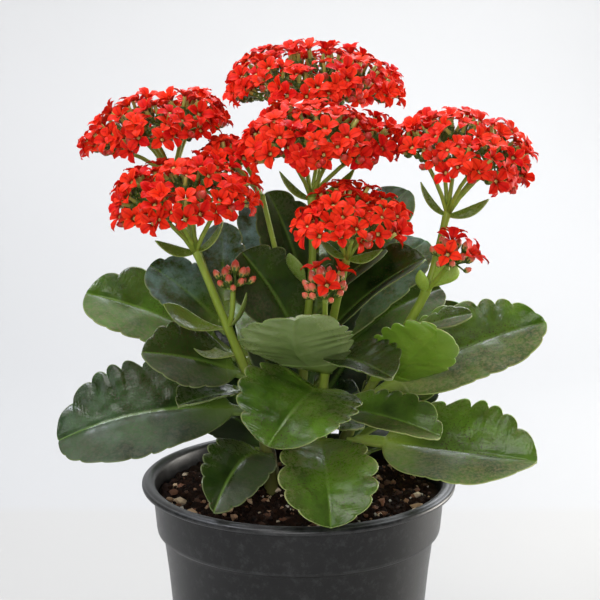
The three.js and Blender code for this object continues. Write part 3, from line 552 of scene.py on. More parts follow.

# %% [markdown]
# Each leaf has a row of its own too, because no two on a plant are alike. It is noted with its stem
# and the height where it leaves it, so that it always meets its stem. Its tip was set until it lay
# where the photograph shows it. One view can't give its depth, so that comes from which leaf
# covers which, and from how much a leaf is foreshortened.

# %% The leaves' places, greens and painted sheen
# Each leaf: its stem, the height where it leaves it, its tip, how far its midrib arches, its width,
# and in degrees how far it rolls about its midrib and how far each half folds up.
LEAVES = {
    "leaf_left_low": ("stem_left_front", 152, (-105, -20, 142), 8, 52, -38, 9),
    "leaf_left_back": ("stem_left_back", 172, (-96, 13, 201), 4, 42, -36, 8),
    "leaf_left_high": ("stem_left_back", 184, (-67, 12, 214), 2, 30, -40, 5),
    "leaf_left_middle": ("stem_left_front", 170, (-67, -30, 184), 2, 35, -40, 8),
    "leaf_left_folded": ("stem_left_front", 163, (-51, -40, 163), 1, 22, -12, 24),
    "leaf_front_left": ("stem_left_front", 132, (-35, -62, 124), 9, 30, -24, 10),
    "leaf_front_broad": ("stem_right_front", 165, (-13, -62, 152), 8, 53, -16, 14),
    "leaf_front_raised": ("stem_right_front", 174, (-1.5, -56, 205), -3, 50, 8, 5),
    "leaf_front_low": ("stem_right_front", 143, (13, -75.4, 122), 10, 43, 0, 15),
    "leaf_front_right_small": ("stem_right_front", 180, (39, -52, 178), 2, 33, 12, 20),
    "leaf_right_bright": ("stem_right", 166, (57, -45, 198), -2, 36, -32, 4),
    "leaf_right_large": ("stem_right", 156, (111, 10, 188.5), 4, 50, 30, 8),
    "leaf_right_low": ("stem_right", 138, (103, -30, 136), 1, 53, 28, 14),
    "leaf_right_narrow": ("stem_right", 184, (76, -10, 196), 2, 15, 25, 8),
    "leaf_right_folded": ("stem_right_front", 156, (60, -45, 151), 3, 28, 24, 22),
    "leaf_right_under": ("stem_right_front", 150, (29, -27, 150), 0, 16, 10, 10),
    "leaf_upright_right": ("stem_middle", 172, (56, 2, 219), 5, 34, 25, 30),
    "leaf_upright_inner": ("stem_middle", 188, (39, 2, 223), 4, 24, 30, 30),
    "leaf_upright_back_right": ("stem_back", 172, (50, 34, 245), 8, 36, 30, 5),
    "leaf_back_right": ("stem_back", 156, (67, 40, 198), 7, 34, 30, 8),
    "leaf_back_right_low": ("stem_right", 128, (80, 48, 187), 2, 40, 30, 8),
    "leaf_back_right_far": ("stem_back", 164, (60, 50, 219), 4, 32, 30, 8),
    "leaf_upright_back": ("stem_back", 184, (-14, 14, 247), 3, 30, -75, 5),
    "leaf_upright_left": ("stem_back", 168, (-24, 38, 239), 5, 26, -40, 5),
    "leaf_upright_far_left": ("stem_left_back", 188, (-35, 28, 231), 2, 22, -20, 5),
    "leaf_upright_middle": ("stem_middle", 176, (-25, -10, 224), 3, 34, -75, 5),
    "leaf_inner_left": ("stem_middle", 150, (-22, -14, 184), 2, 18, -60, 5),
    "leaf_rear_low": ("stem_back", 130, (8, 96, 122), 10, 46, 0, 8),
    "leaf_rear_left": ("stem_left_back", 142, (-45, 86, 150), 8, 42, 10, 6),
    "leaf_rear_right": ("stem_back", 142, (52, 82, 150), 8, 42, -10, 6),
    "leaf_rear_middle": ("stem_back", 164, (-6, 88, 182), 4, 40, 0, 6),
    "leaf_rear_far_left": ("stem_left_back", 128, (-72, 52, 126), 8, 40, 0, 6),
    "leaf_rear_far_right": ("stem_right", 122, (78, 58, 124), 8, 40, 0, 6),
    "leaf_rear_high": ("stem_back", 186, (20, 72, 216), 3, 32, 0, 6),
    "leaf_rear_high_left": ("stem_left_back", 160, (-36, 66, 196), 3, 32, 0, 6),
}
# Small shaded leaves round the foot of the stems, which close the gaps between the large ones.
INNER_LEAVES = {
    "leaf_shaded_upper": ("stem_left_back", 164, (-60, 24, 190), 3, 36, -60, 6),
    "leaf_shaded_left": ("stem_back", 138, (-34, 36, 176), 3, 34, -50, 6),
    "leaf_shaded_middle": ("stem_back", 146, (-12, 34, 196), 3, 32, -70, 6),
    "leaf_shaded_right": ("stem_back", 140, (36, 40, 178), 3, 34, 50, 6),
    "leaf_shaded_high": ("stem_middle", 158, (22, 18, 212), 3, 30, 70, 6),
    "leaf_shaded_far_left": ("stem_left_back", 142, (-60, 30, 168), 4, 32, -40, 6),
    "leaf_shaded_far_right": ("stem_right", 138, (62, 28, 160), 4, 30, 40, 6),
    "leaf_shaded_front": ("stem_middle", 140, (-14, -22, 168), 3, 22, -40, 8),
    "leaf_shaded_low_left": ("stem_left_back", 126, (-40, 30, 140), 6, 30, -30, 6),
    "leaf_shaded_low_right": ("stem_right", 124, (44, 22, 140), 6, 28, 30, 6),
    "leaf_shaded_centre": ("stem_back", 128, (27, -2, 160), 3, 28, 40, 6),
}
LEAVES.update(INNER_LEAVES)
# How far a leaf's green is from the usual one: darker below 0, brighter and yellower above. Partly
# the leaf's own green, partly painted shade on leaves in shadow and painted light on sunlit ones.
LEAF_TONES_AND_PAINTED_LIGHT = {
    "leaf_right_bright": 1.0, "leaf_front_right_small": -0.35, "leaf_front_raised": -0.45,
    "leaf_right_folded": 0.0, "leaf_left_middle": -0.6, "leaf_front_left": -0.7,
    "leaf_left_folded": -0.6, "leaf_front_broad": 0.0, "leaf_front_low": 0.2,
    "leaf_upright_left": -0.6, "leaf_upright_back": -0.6, "leaf_upright_middle": -0.5,
    "leaf_upright_inner": -0.5, "leaf_upright_right": -0.3, "leaf_inner_left": -0.9,
    "leaf_right_large": 0.5, "leaf_right_low": 0.6, "leaf_left_low": -0.6,
    "leaf_left_high": -0.6, "leaf_left_back": -0.15,
}
# The small inner leaves are painted the darkest green, which is painted shade.
LEAF_TONES_AND_PAINTED_LIGHT.update({name: -1.0 for name in INNER_LEAVES})
# How strongly a leaf is painted with a pale blue sheen in patches, which stands in for the sky's
# reflection.
PAINTED_SHEEN = {
    "leaf_upright_left": 0.9, "leaf_upright_far_left": 0.9, "leaf_left_high": 0.5,
    "leaf_back_right_far": 0.5, "leaf_upright_back_right": 0.25, "leaf_left_low": 0.06,
}
print("leaves:", len(LEAVES), "of them shaded:", len(INNER_LEAVES), "with bloom:", len(PAINTED_SHEEN))


# %% Curves through points
def curve_through(points, count):
    """A Catmull-Rom curve. Each span is a cubic in Hermite form: its end points, and tangents that
    come from the neighbouring points weighted by knot spacing, the square root of a distance."""
    p = np.array(points, float)
    p = np.vstack([2 * p[0] - p[1], p, 2 * p[-1] - p[-2]])
    gap = np.sqrt(np.linalg.norm(np.diff(p, axis=0), axis=1))[:, None]
    before, here, after = gap[:-2], gap[1:-1], gap[2:]
    p0, p1, p2, p3 = p[:-3], p[1:-2], p[2:-1], p[3:]
    leave = ((p1 - p0) / before - (p2 - p0) / (before + here)) * here + (p2 - p1)
    arrive = ((p3 - p2) / after - (p3 - p1) / (here + after)) * here + (p2 - p1)
    t = np.linspace(0, 1, count)[None, :, None]
    a, b, c, d = (m[:, None] for m in (p1, p2, leave, arrive))
    curve = (
        (2 * t**3 - 3 * t**2 + 1) * a
        + (t**3 - 2 * t**2 + t) * c
        + (3 * t**2 - 2 * t**3) * b
        + (t**3 - t**2) * d
    )
    return np.vstack([curve[:, :-1].reshape(-1, 3), p2[-1]])


def at_height(curve, z):
    """The points of a rising curve at the heights z."""
    return np.stack([np.interp(z, curve[:, 2], curve[:, k]) for k in range(3)], axis=-1)


STEM_CURVES = {name: curve_through(stem[0], 60) for name, stem in STEMS.items()}


def stem_run(name, z):
    """The stem's centre, direction and radius at a height."""
    curve = STEM_CURVES[name]
    centre, above = at_height(curve, z), at_height(curve, min(z + 2, curve[-1, 2]))
    below = at_height(curve, z - 2)
    radius = LEAFY_STEM_RADIUS if z < STEMS[name][1] else UPPER_STEM_RADIUS
    return centre, unit(above - below), radius


for name, curve in STEM_CURVES.items():
    print(name, "length in mm:", np.linalg.norm(np.diff(curve, axis=0), axis=1).sum().round())

# %% Stem tubes
def smooth_step(low, high, x):
    """0 below `low`, 1 above `high`, and 3t^2 - 2t^3 between."""
    t = np.clip((x - low) / (high - low), 0, 1)
    return t * t * (3 - 2 * t)


STEM_RINGS = 120
STEM_SIDES = 18
STEM_RIBS = 5
STEM_RIB_RISE = 0.035  # share of the radius
LEAFY_FROM, LEAFY_TO = 112, 170  # heights between which the foot's stoutness ends
JOINT_BELOW, JOINT_ABOVE = 10, 4  # the stem turns thin from so far below the joint to so far above
SWELLING = 0.25  # of a stem where a leaf or bract leaves it
SWELLING_REACH = 2.2


def stem_rings(name):
    """A tube whose radius falls by smooth steps: from the foot's to the leafy stem's, to the upper
    stem's at the joint, and on to the fork's. It rises at each swelling by a bell curve
    exp(-(height / reach)^2), and is faintly five-ribbed."""
    way, joint, sides, bracts = STEMS[name]
    top = way[-1][2]
    z = np.linspace(STEM_FOOT, top, STEM_RINGS)
    path = at_height(STEM_CURVES[name], z)
    leafy = smooth_step(LEAFY_FROM, LEAFY_TO, z)
    thin = smooth_step(joint - JOINT_BELOW, joint + JOINT_ABOVE, z)
    radius = LOWER_STEM_RADIUS + (UPPER_STEM_RADIUS - LOWER_STEM_RADIUS) * thin
    radius = radius - (LOWER_STEM_RADIUS - LEAFY_STEM_RADIUS) * leafy * (1 - thin)
    radius = radius - (UPPER_STEM_RADIUS - FORK_RADIUS) * smooth_step(joint, top, z)
    leaves = {leaf[1] for leaf in LEAVES.values() if leaf[0] == name}
    for swollen in leaves | {bract[0] for bract in bracts}:
        radius = radius + SWELLING * np.exp(-(((z - swollen) / SWELLING_REACH) ** 2))
    rings = tubes(path[None], radius[None], STEM_SIDES)
    turn = STEM_RIBS * 2 * np.pi * np.arange(STEM_SIDES) / STEM_SIDES
    rib = 1 + STEM_RIB_RISE * np.cos(turn)
    return path[None, :, None] + (rings - path[None, :, None]) * rib[:, None]


# %% [markdown]
# A fresh green stem has a smooth waxy skin, lighter and yellower than the leaves, that turns
# brownish and corky near the soil. The brown is painted on up into the leaves, where it is painted
# shade. It is streaked along its length, in streaks about 2 mm wide.
# Light enters it a little, so it gets some subsurface scattering.

# %% Green stem
STEM_STREAK = (1, 1, 0.15)
CORKY_AND_SHADE_UP_TO = (0.13, 0.19)  # metres of height over which the corky brown and its painted shade end
stem_green, tree, shader, where = new_material(
    "fresh green stem",
    IOR=1.42,
    Roughness=0.42,
    Subsurface_Weight=0.15,
    Subsurface_Radius=(0.002, 0.004, 0.001),
    Subsurface_Scale=0.4,
)
height = add_node(tree, "SeparateXYZ", links={"Vector": where}, output="Z")
# Corky brown low on the stem, reaching up as painted shade under the leaves.
low = add_node(
    tree,
    "MapRange",
    {"From Min": CORKY_AND_SHADE_UP_TO[0], "From Max": CORKY_AND_SHADE_UP_TO[1], "To Min": 1.0, "To Max": 0.0},
    {"Value": height},
)
streak_space = add_node(tree, "Mapping", {"Scale": STEM_STREAK}, {"Vector": where})
streak = add_node(tree, "TexNoise", {"Scale": noise_scale(2.22), "Detail": 4}, {"Vector": streak_space})
fresh = add_node(tree, "Mix", {"data_type": "RGBA", "A": "#6c8620", "B": "#a2b248"}, {"Factor": streak})
corky_and_shaded = add_node(tree, "Mix", {"data_type": "RGBA", "A": "#464c1e", "B": "#74723a"}, {"Factor": streak})
skin = add_node(tree, "Mix", {"data_type": "RGBA"}, {"Factor": low, "A": fresh, "B": corky_and_shaded})
bump = add_node(tree, "Bump", {"Strength": 0.15, "Distance": 0.0004}, {"Height": streak})
tree.links.new(skin, shader["Base Color"])
tree.links.new(bump, shader["Normal"])

# %% All the stems
for name, (way, joint, sides, bracts) in STEMS.items():
    points, faces = loft(stem_rings(name))
    new_piece(name + "_main", points, faces, stem_green, "stem_green", [name])
    for side in sides:
        path = curve_through(side, 12)[None]
        points, faces = loft(tubes(path, SIDE_STEM_RADIUS, STEM_SIDES))
        new_piece(name + "_side", points, faces, stem_green, "stem_green")
    print(name, "rings:", STEM_RINGS, "side stems:", len(sides))

# %% [markdown]
# ## The leaves
# A kalanchoe leaf is thick and stiff, on a short flat stalk. Its edge is crenate: a row of round
# lobes with a small sharp notch between. The midrib is a pale groove on top and a ridge below, side
# veins run from it to the lobes, and the blade swells a little between them. A leaf could be cut from
# a sheet and thickened, but its edge would then be square. So each leaf is one loft: the rings go
# round the blade from edge to edge, over the top and back under. The outline comes first.

# %% The outline of a leaf
# Share of the length that is stalk, share of the blade where it is widest, how pointed the tip is,
# and the length of a lobe.
USUAL_OUTLINE = (0.14, 0.64, 0.5, 8.2)
OUTLINES = {
    "leaf_right_large": (0.12, 0.52, 0.6, 8.2), "leaf_right_low": (0.2, 0.48, 0.6, 8.2),
    "leaf_left_low": (0.12, 0.58, 0.5, 8.2), "leaf_front_broad": (0.04, 0.52, 0.5, 6.5),
    "leaf_front_raised": (0.0, 0.62, 0.5, 5.0), "leaf_right_bright": (0.0, 0.62, 0.5, 6.5),
    "leaf_front_left": (0.1, 0.5, 0.6, 7.0), "leaf_left_high": (0.1, 0.62, 0.5, 7.0),
    "leaf_right_folded": (0.05, 0.6, 0.5, 7.0), "leaf_left_middle": (0.1, 0.55, 0.6, 7.0),
    "leaf_front_right_small": (0.05, 0.55, 0.55, 6.0),
}
LOBE_DEPTH = 3.0
NOTCHED_WIDTH = 38  # of the narrowest leaf with notches of the full depth
PETIOLE_HALF_WIDTH = 3.0


def lobe(wave):
    """1 on each lobe's crown down to 0 in each notch. From stalk to tip a lobe rises as a quarter
    sine over two thirds of its length and then rounds off as a quarter circle, so that its notch
    leans forward."""
    place = wave % 1
    rising = np.sin(np.pi / 2 * np.clip(place / 0.65, 0, 1))
    falling = np.sqrt(1 - np.clip((place - 0.65) / 0.35, 0, 1) ** 2)
    return np.minimum(rising, falling) ** 0.8


def leaf_outline(share, width, length, outline, depth, draw):
    """Half the width at each share of the length: s to a power times (1 - s) to a power along the
    blade, 1 where it is widest, less the notches, `depth` of the full depth. The stalk's half width
    is added as the root of the sum of squares. Also returns the share of the blade, and how many
    lobes have gone by."""
    stalk_share, widest, point, lobe_length = outline
    s = np.clip((share - stalk_share) / (1 - stalk_share), 0, 1)
    swell = (s / widest) ** (point * widest / (1 - widest)) * ((1 - s) / (1 - widest)) ** point
    start, slip, uneven = draw.random(3)
    lobes = max(4, 0.95 * length * (1 - stalk_share) / lobe_length)
    wave = s * lobes + start + 0.25 * np.sin(1.3 * s * lobes + 6 * slip)
    deep = LOBE_DEPTH * depth * min(1, width / NOTCHED_WIDTH)
    deep = deep * (1 + 0.3 * np.sin(1.7 * s * lobes + 6 * uneven))
    cut = deep * (1 - lobe(wave)) * smooth_step(0.18, 0.4, s) * (1 - smooth_step(0.93, 1, s))
    stalk = PETIOLE_HALF_WIDTH * min(1, width / 24 + 0.1)
    stalk = stalk * (1 - smooth_step(0.3, 0.6, share))
    stalk = stalk * (1 + 0.3 * (1 - smooth_step(0, 0.05, share)))  # it clasps the stem
    blade = np.maximum(width / 2 * swell - cut, 0)
    return np.sqrt(blade**2 + stalk**2), s, wave


print("leaves with an outline of their own:", len(OUTLINES))

# %% [markdown]
# The midrib is a bowed line from the stem to the tip. The leaf twists about it until the blade
# begins, and then keeps its roll. All that follows is told from this line, across and out of it.

# %% The midrib of a leaf
PETIOLE = 0.14  # share of a leaf's length over which it twists to its roll
# How far a midrib bends sideways, to the left of a leaf that points at the viewer, in millimetres.
SWAY = {"leaf_front_raised": 5, "leaf_front_broad": -4, "leaf_right_low": 3, "leaf_left_low": -3}
TIP_MARGIN = 1.2  # keeps the rounded tip inside the solid's reach
LEAF_RINGS = 200
ROOT_INSIDE = 0.6  # how far a leaf reaches into its stem


def leaf_midrib(name):
    """The midrib, and at each of its points the directions across the blade and out of its upper
    face. It leaves the stem square to it, and follows (1-t)^2 times the root, 2t(1-t) times the bend
    and t^2 times the tip. Also returns the share of the length at each point, and the length."""
    stem, height, tip, arch, width, roll, fold = LEAVES[name]
    centre, run, radius = stem_run(stem, height)
    tip = np.array(tip, float) + TIP_MARGIN * unit(centre - tip)
    outward = unit((tip - centre) * [1, 1, 0])
    outward = unit(outward - run * (outward @ run))
    root = centre + outward * (radius - ROOT_INSIDE)
    along = unit(tip - root)
    side = unit(np.cross(along, [0, 0, 1]))
    lift = np.cross(side, along)
    bend = (root + tip) / 2 + lift * 2 * arch + side * 2 * SWAY.get(name, 0)
    u = np.linspace(0, 1, LEAF_RINGS)
    share = 1 - (1 - u) ** 1.35
    t = share[:, None]
    midrib = (1 - t) ** 2 * root + 2 * t * (1 - t) * bend + t**2 * tip
    ahead = unit(2 * (1 - t) * (bend - root) + 2 * t * (tip - bend))
    twist = np.radians(roll) * np.minimum(1, share / PETIOLE)[:, None]
    across = side * np.cos(twist) + np.cross(along, side) * np.sin(twist)
    face = unit(np.cross(across, ahead))
    return midrib, across, face, share, np.linalg.norm(tip - root)


leaf_lengths = [leaf_midrib(name)[-1] for name in LEAVES]
print("leaf lengths from", min(leaf_lengths).round(1), "to", max(leaf_lengths).round(1), "mm")

# %% [markdown]
# The two halves of a blade fold up or down from the midrib. The leaf is thickest there and has a
# round edge. A turned leaf's lower edge hides most of its notches, and collects the dust that runs
# down, so the material is told which half is the lower one.

# %% The whole surface of a leaf
TURNED = 20  # degrees of roll from which a leaf's lower edge is smoother
LOWER_EDGE = 0.45  # how deep the notches of a turned leaf's lower edge are, next to its upper one's
TIP_HALF_WIDTH = 0.05
RIB_THICKNESS = 2.2
EDGE_THICKNESS = 1.0
QUILT = 0.02  # rise of a lobe's crown, as a share of the leaf's width
RUFFLE = 0.018  # rise of the ruffled edge, as a share of the same
GROOVE = 0.016  # depth of the midrib's groove, as a share of the same
GROOVE_REACH = 1.2  # half width of the groove
VEIN_LEAN = 0.9  # lobes by which a vein runs forward between the midrib and the edge
TONE_CHANCE = 0.06  # how much the leaves' greens differ by chance
# Places across the top of a leaf, from one edge (1) to the other (-1), closer at the round edges.
ACROSS = np.array([1, 0.985, 0.94, 0.84, 0.7, 0.54, 0.38, 0.24, 0.12, 0.05])
ACROSS = np.concatenate([ACROSS, [0], -ACROSS[::-1]])
LOOP = np.concatenate([ACROSS, ACROSS[-2:0:-1]])  # over the top and back under
ON_TOP = np.concatenate([np.ones(len(ACROSS)), -np.ones(len(ACROSS) - 2)])
ON_TOP[[0, len(ACROSS) - 1]] = 0


def leaf_surface(name, seed):
    """Rings of a leaf. Each point lies off the midrib by the half width times its place, times the
    cosine of the fold, and out of the face by the same with the sine, plus the ruffle, a lobe's
    swelling and the groove, and plus or minus half the thickness. Also returns the numbers that its
    material reads at each point: millimetres from the edge and from the midrib, how much of a stalk
    it is, 1 on the top and 0 on the underside, how far it belongs to a lower half, its painted blue
    sheen, and its tone of green, which is partly painted light and shade."""
    width, roll, fold = LEAVES[name][-3:]
    midrib, across, face, share, length = leaf_midrib(name)
    t = share[:, None]
    draw = np.random.default_rng(seed)
    outline = OUTLINES.get(name, USUAL_OUTLINE)
    depths = (1.0, 1.0)
    if abs(roll) >= TURNED:
        depths = (LOWER_EDGE, 1.0) if across[-1, 2] > 0 else (1.0, LOWER_EDGE)
    left, s, left_wave = leaf_outline(share, width, length, outline, depths[0], draw)
    right, s, right_wave = leaf_outline(share, width, length, outline, depths[1], draw)
    depth = np.where(LOOP > 0, *depths)
    half = np.where(LOOP > 0, left[:, None], right[:, None])
    wave = np.where(LOOP > 0, left_wave[:, None], right_wave[:, None])
    half[-1] = TIP_HALF_WIDTH
    # The fold grows with the blade, until this is a third of its full width.
    angle = np.radians(fold) * np.clip(6 * half / width, 0, 1)
    a = np.abs(LOOP)[None]
    blade = smooth_step(0.2, 0.45, t)
    reach = half * LOOP * np.cos(angle)
    rise = half * a**1.3 * np.sin(angle)
    # The ruffled edge, and the swelling of each lobe, which dies out towards the midrib.
    phase, pace = 2 * np.pi * draw.random(2), 1.4 + draw.random(2)
    phase, pace = (np.where(LOOP > 0, pair[0], pair[1])[None] for pair in (phase, pace))
    ruffle = RUFFLE * width * a**2 * np.sin(2 * np.pi * pace * t + phase)
    puffed = lobe(wave + VEIN_LEAN * (1 - a))
    quilt = QUILT * width * depth * puffed * a**1.6 * smooth_step(0.1, 0.35, s)[:, None]
    # 1 on a turned leaf's lower half, from a little beside its midrib.
    lower = (1 - depth) / (1 - LOWER_EDGE) * smooth_step(0.0, 0.25, np.abs(LOOP))
    stalk = 1 - smooth_step(outline[0] * 0.9, outline[0] + 0.3, share)
    groove = -GROOVE * width * np.exp(-((a * half / GROOVE_REACH) ** 2))
    thick = EDGE_THICKNESS + (RIB_THICKNESS - EDGE_THICKNESS) * (1 - a) ** 1.5 * (1 - 0.6 * t)
    thick = np.where(blade > 0, thick, RIB_THICKNESS)
    rounded = np.sqrt(np.clip(1 - a**14, 0, 1)) * ON_TOP
    out = rise + blade * (ruffle + quilt + groove) + rounded * thick / 2
    rings = midrib[:, None] - across[:, None] * reach[:, :, None] + face[:, None] * out[:, :, None]
    values = {
        "edge_mm": half * (1 - a),
        "rib_mm": half * a / (1.7 - 1.2 * t),
        "stalk": stalk[:, None] * np.exp(-a * half / 9),
        "top": (ON_TOP[None] + 1) / 2 + 0 * t,
        "lower": lower + 0 * half,
        "painted_sheen": PAINTED_SHEEN.get(name, 0) * smooth_step(0.25, 0.75, t) + 0 * half,
        "tone": LEAF_TONES_AND_PAINTED_LIGHT.get(name, 0) * 0.5 + 0.5 + TONE_CHANCE * draw.normal() + 0 * half,
    }
    return rings[None], values


print("rings of a leaf:", LEAF_RINGS, "points in each:", len(LOOP))

# %% [markdown]
# The leaf's skin is a cuticle of wax over deep green flesh. The flesh shows through as greens that
# are mottled every 2 cm and worn to olive in patches of 6 cm, with a paler midrib and brown specks.
# Each leaf has its own tone, from dark ones to young yellow green ones. Part of it is painted shade
# on the leaves that lie in shadow and painted light on the sunlit ones. Light enters the flesh a
# little, so it gets some subsurface scattering.

# %% Waxy leaf: the flesh, the midrib and the specks
leaf_skin, tree, shader, where = new_material(
    "waxy succulent leaf",
    IOR=1.5,
    Specular_IOR_Level=0.42,
    Subsurface_Weight=0.25,
    Subsurface_Radius=(0.001, 0.003, 0.0004),
    Subsurface_Scale=0.5,
)
edge_mm, rib_mm, stalk, top, tone, painted_sheen, lower = (
    add_node(tree, "Attribute", {"attribute_name": name}, output="Fac")
    for name in ("edge_mm", "rib_mm", "stalk", "top", "tone", "painted_sheen", "lower")
)
mottle = add_node(
    tree, "TexNoise", {"Scale": noise_scale(22.2), "Detail": 5, "Roughness": 0.6}, {"Vector": where}
)
mottled = add_node(tree, "MapRange", {"From Min": 0.3, "From Max": 0.7}, {"Value": mottle})
# The tone, partly the leaf's own green and partly painted light and shade, sets its flesh.
dark = add_node(tree, "Mix", {"data_type": "RGBA", "A": "#060e05", "B": "#1e3c0c"}, {"Factor": tone})
light = add_node(tree, "Mix", {"data_type": "RGBA", "A": "#1e3612", "B": "#7aa82a"}, {"Factor": tone})
flesh = add_node(tree, "Mix", {"data_type": "RGBA"}, {"Factor": mottled, "A": dark, "B": light})
broad = add_node(tree, "TexNoise", {"Scale": noise_scale(62.5), "Detail": 2}, {"Vector": where})
faded = add_node(tree, "MapRange", {"From Min": 0.45, "From Max": 0.75}, {"Value": broad})
worn = add_node(tree, "Math", {"operation": "MULTIPLY", 1: 0.6}, {0: faded})
worn_green = add_node(
    tree, "Mix", {"data_type": "RGBA", "A": "#0e1a10", "B": "#5f6a3a"}, {"Factor": tone}
)
patchy = add_node(tree, "Mix", {"data_type": "RGBA"}, {"Factor": worn, "A": flesh, "B": worn_green})
# The pale midrib fades out over about a millimetre from the leaf's middle.
rib = add_node(
    tree,
    "MapRange",
    {"From Min": 0.2, "From Max": 1.1, "To Min": 0.55, "To Max": 0.0},
    {"Value": rib_mm},
)
ribbed = add_node(tree, "Mix", {"data_type": "RGBA", "B": "#6f8f3c"}, {"Factor": rib, "A": patchy})
# Brown specks near 0.8 mm, in patches.
grit = add_node(tree, "TexNoise", {"Scale": noise_scale(0.77), "Detail": 2}, {"Vector": where})
specks = add_node(tree, "MapRange", {"From Min": 0.56, "From Max": 0.66}, {"Value": grit})
blotch = add_node(tree, "TexNoise", {"Scale": noise_scale(33.3), "Detail": 3}, {"Vector": where})
blotches = add_node(
    tree, "MapRange", {"From Min": 0.4, "From Max": 0.58, "To Max": 0.9}, {"Value": blotch}
)
dirt = add_node(tree, "Mix", {"data_type": "FLOAT", "A": 0.0}, {"Factor": specks, "B": blotches})
specked = add_node(tree, "Mix", {"data_type": "RGBA", "B": "#3f3220"}, {"Factor": dirt, "A": ribbed})
print("nodes so far:", len(tree.nodes))

# %% [markdown]
# Pale dust settles in the grain of the skin. It lies in drifts 4 cm wide: more where a leaf is
# level, more near its edge, and most on a turned leaf's lower half. Its own grains are far too fine
# to show, so it is drawn in clumps of 1.6 mm. Upright leaves get a pale blue painted sheen in
# patches, which stands in for the sky's reflection. The thin rim lets light through, so it looks
# pale and yellow.

# %% Waxy leaf: the dust, the painted sheen and the rim
powder = add_node(
    tree, "TexNoise", {"Scale": noise_scale(1.61), "Detail": 4, "Roughness": 0.7}, {"Vector": where}
)
settled = add_node(tree, "MapRange", {"From Min": 0.42, "From Max": 0.72}, {"Value": powder})
drift = add_node(tree, "TexNoise", {"Scale": noise_scale(41.7), "Detail": 2}, {"Vector": where})
facing_way = add_node(tree, "TexCoord", output="Normal")
upward = add_node(tree, "SeparateXYZ", links={"Vector": facing_way}, output="Z")
lying = add_node(tree, "MapRange", {"From Min": 0.7, "To Min": -0.1, "To Max": 0.15}, {"Value": upward})
outer = add_node(tree, "MapRange", {"From Max": 12.0, "To Min": 0.1, "To Max": -0.08}, {"Value": edge_mm})
drifting = add_node(tree, "Math", {"operation": "ADD"}, {0: drift, 1: lying})
drifting_out = add_node(tree, "Math", {"operation": "ADD"}, {0: drifting, 1: outer})
lower_dust = add_node(tree, "MapRange", {"To Max": 0.16}, {"Value": lower})
drifting_low = add_node(tree, "Math", {"operation": "ADD"}, {0: drifting_out, 1: lower_dust})
drifts = add_node(
    tree, "MapRange", {"From Min": 0.38, "From Max": 0.66, "To Max": 1.0}, {"Value": drifting_low}
)
dust = add_node(tree, "Mix", {"data_type": "FLOAT", "A": 0.0}, {"Factor": settled, "B": drifts})
dust_brown = add_node(
    tree, "Mix", {"data_type": "RGBA", "A": "#1c2618", "B": "#948a58"}, {"Factor": tone}
)
dusty = add_node(tree, "Mix", {"data_type": "RGBA"}, {"Factor": dust, "A": specked, "B": dust_brown})
sheen_noise = add_node(
    tree, "TexNoise", {"Scale": noise_scale(11.1), "Detail": 6, "Roughness": 0.7}, {"Vector": where}
)
patches = add_node(tree, "MapRange", {"From Min": 0.38, "From Max": 0.6}, {"Value": sheen_noise})
# A pale blue painted over patches of some leaves: a painted sheen that stands in for the sky's
# reflection.
painted_sheen_patch = add_node(tree, "Mix", {"data_type": "FLOAT", "A": 0.0}, {"Factor": patches, "B": painted_sheen})
with_painted_sheen = add_node(tree, "Mix", {"data_type": "RGBA", "B": "#7f9da0"}, {"Factor": painted_sheen_patch, "A": dusty})
rim = add_node(
    tree,
    "MapRange",
    {"From Min": 0.15, "From Max": 0.8, "To Min": 0.85, "To Max": 0.0},
    {"Value": edge_mm},
)
rim_green = add_node(tree, "Mix", {"data_type": "RGBA", "A": "#3e4c26", "B": "#cdd088"}, {"Factor": tone})
above = add_node(tree, "Mix", {"data_type": "RGBA"}, {"Factor": rim, "A": with_painted_sheen, "B": rim_green})
print("nodes so far:", len(tree.nodes))

# %% [markdown]
# The underside is matt and paler than the top, with a dull olive veil in patches towards the edge.
# The stalk is lighter and yellower than the blade on both sides. The wax gives a soft gloss. It
# waves a little, because the skin is never quite flat over a centimetre, and it is pitted. Real
# pores are too fine to show, so the pits are a millimetre wide. Dust takes the gloss away.

# %% Waxy leaf: the underside, the stalk and the gloss
under_dark = add_node(
    tree, "Mix", {"data_type": "RGBA", "A": "#67724a", "B": "#5c8418"}, {"Factor": tone}
)
under_light = add_node(
    tree, "Mix", {"data_type": "RGBA", "A": "#86916a", "B": "#7c9c30"}, {"Factor": tone}
)
below = add_node(
    tree, "Mix", {"data_type": "RGBA"}, {"Factor": mottled, "A": under_dark, "B": under_light}
)
veil = add_node(
    tree, "MapRange", {"From Min": 0.4, "From Max": 0.62, "To Max": 0.7}, {"Value": drifting_out}
)
veiled = add_node(tree, "Mix", {"data_type": "RGBA", "B": "#7f8c52"}, {"Factor": veil, "A": below})
both = add_node(tree, "Mix", {"data_type": "RGBA"}, {"Factor": top, "A": veiled, "B": above})
petiole_green = add_node(
    tree, "Mix", {"data_type": "RGBA", "A": "#3a5a1c", "B": "#b0c850"}, {"Factor": tone}
)
whole = add_node(tree, "Mix", {"data_type": "RGBA"}, {"Factor": stalk, "A": both, "B": petiole_green})
wax = add_node(
    tree,
    "MapRange",
    {"From Min": 0.25, "From Max": 0.75, "To Min": 0.14, "To Max": 0.32},
    {"Value": mottle},
)
pits = add_node(tree, "TexNoise", {"Scale": noise_scale(1.11), "Detail": 3}, {"Vector": where})
pitted = add_node(tree, "Bump", {"Strength": 0.3, "Distance": 0.0004}, {"Height": pits})
wavy = add_node(tree, "TexNoise", {"Scale": noise_scale(13.3), "Detail": 1.5}, {"Vector": where})
bump = add_node(tree, "Bump", {"Strength": 0.5, "Distance": 0.0045}, {"Height": wavy, "Normal": pitted})
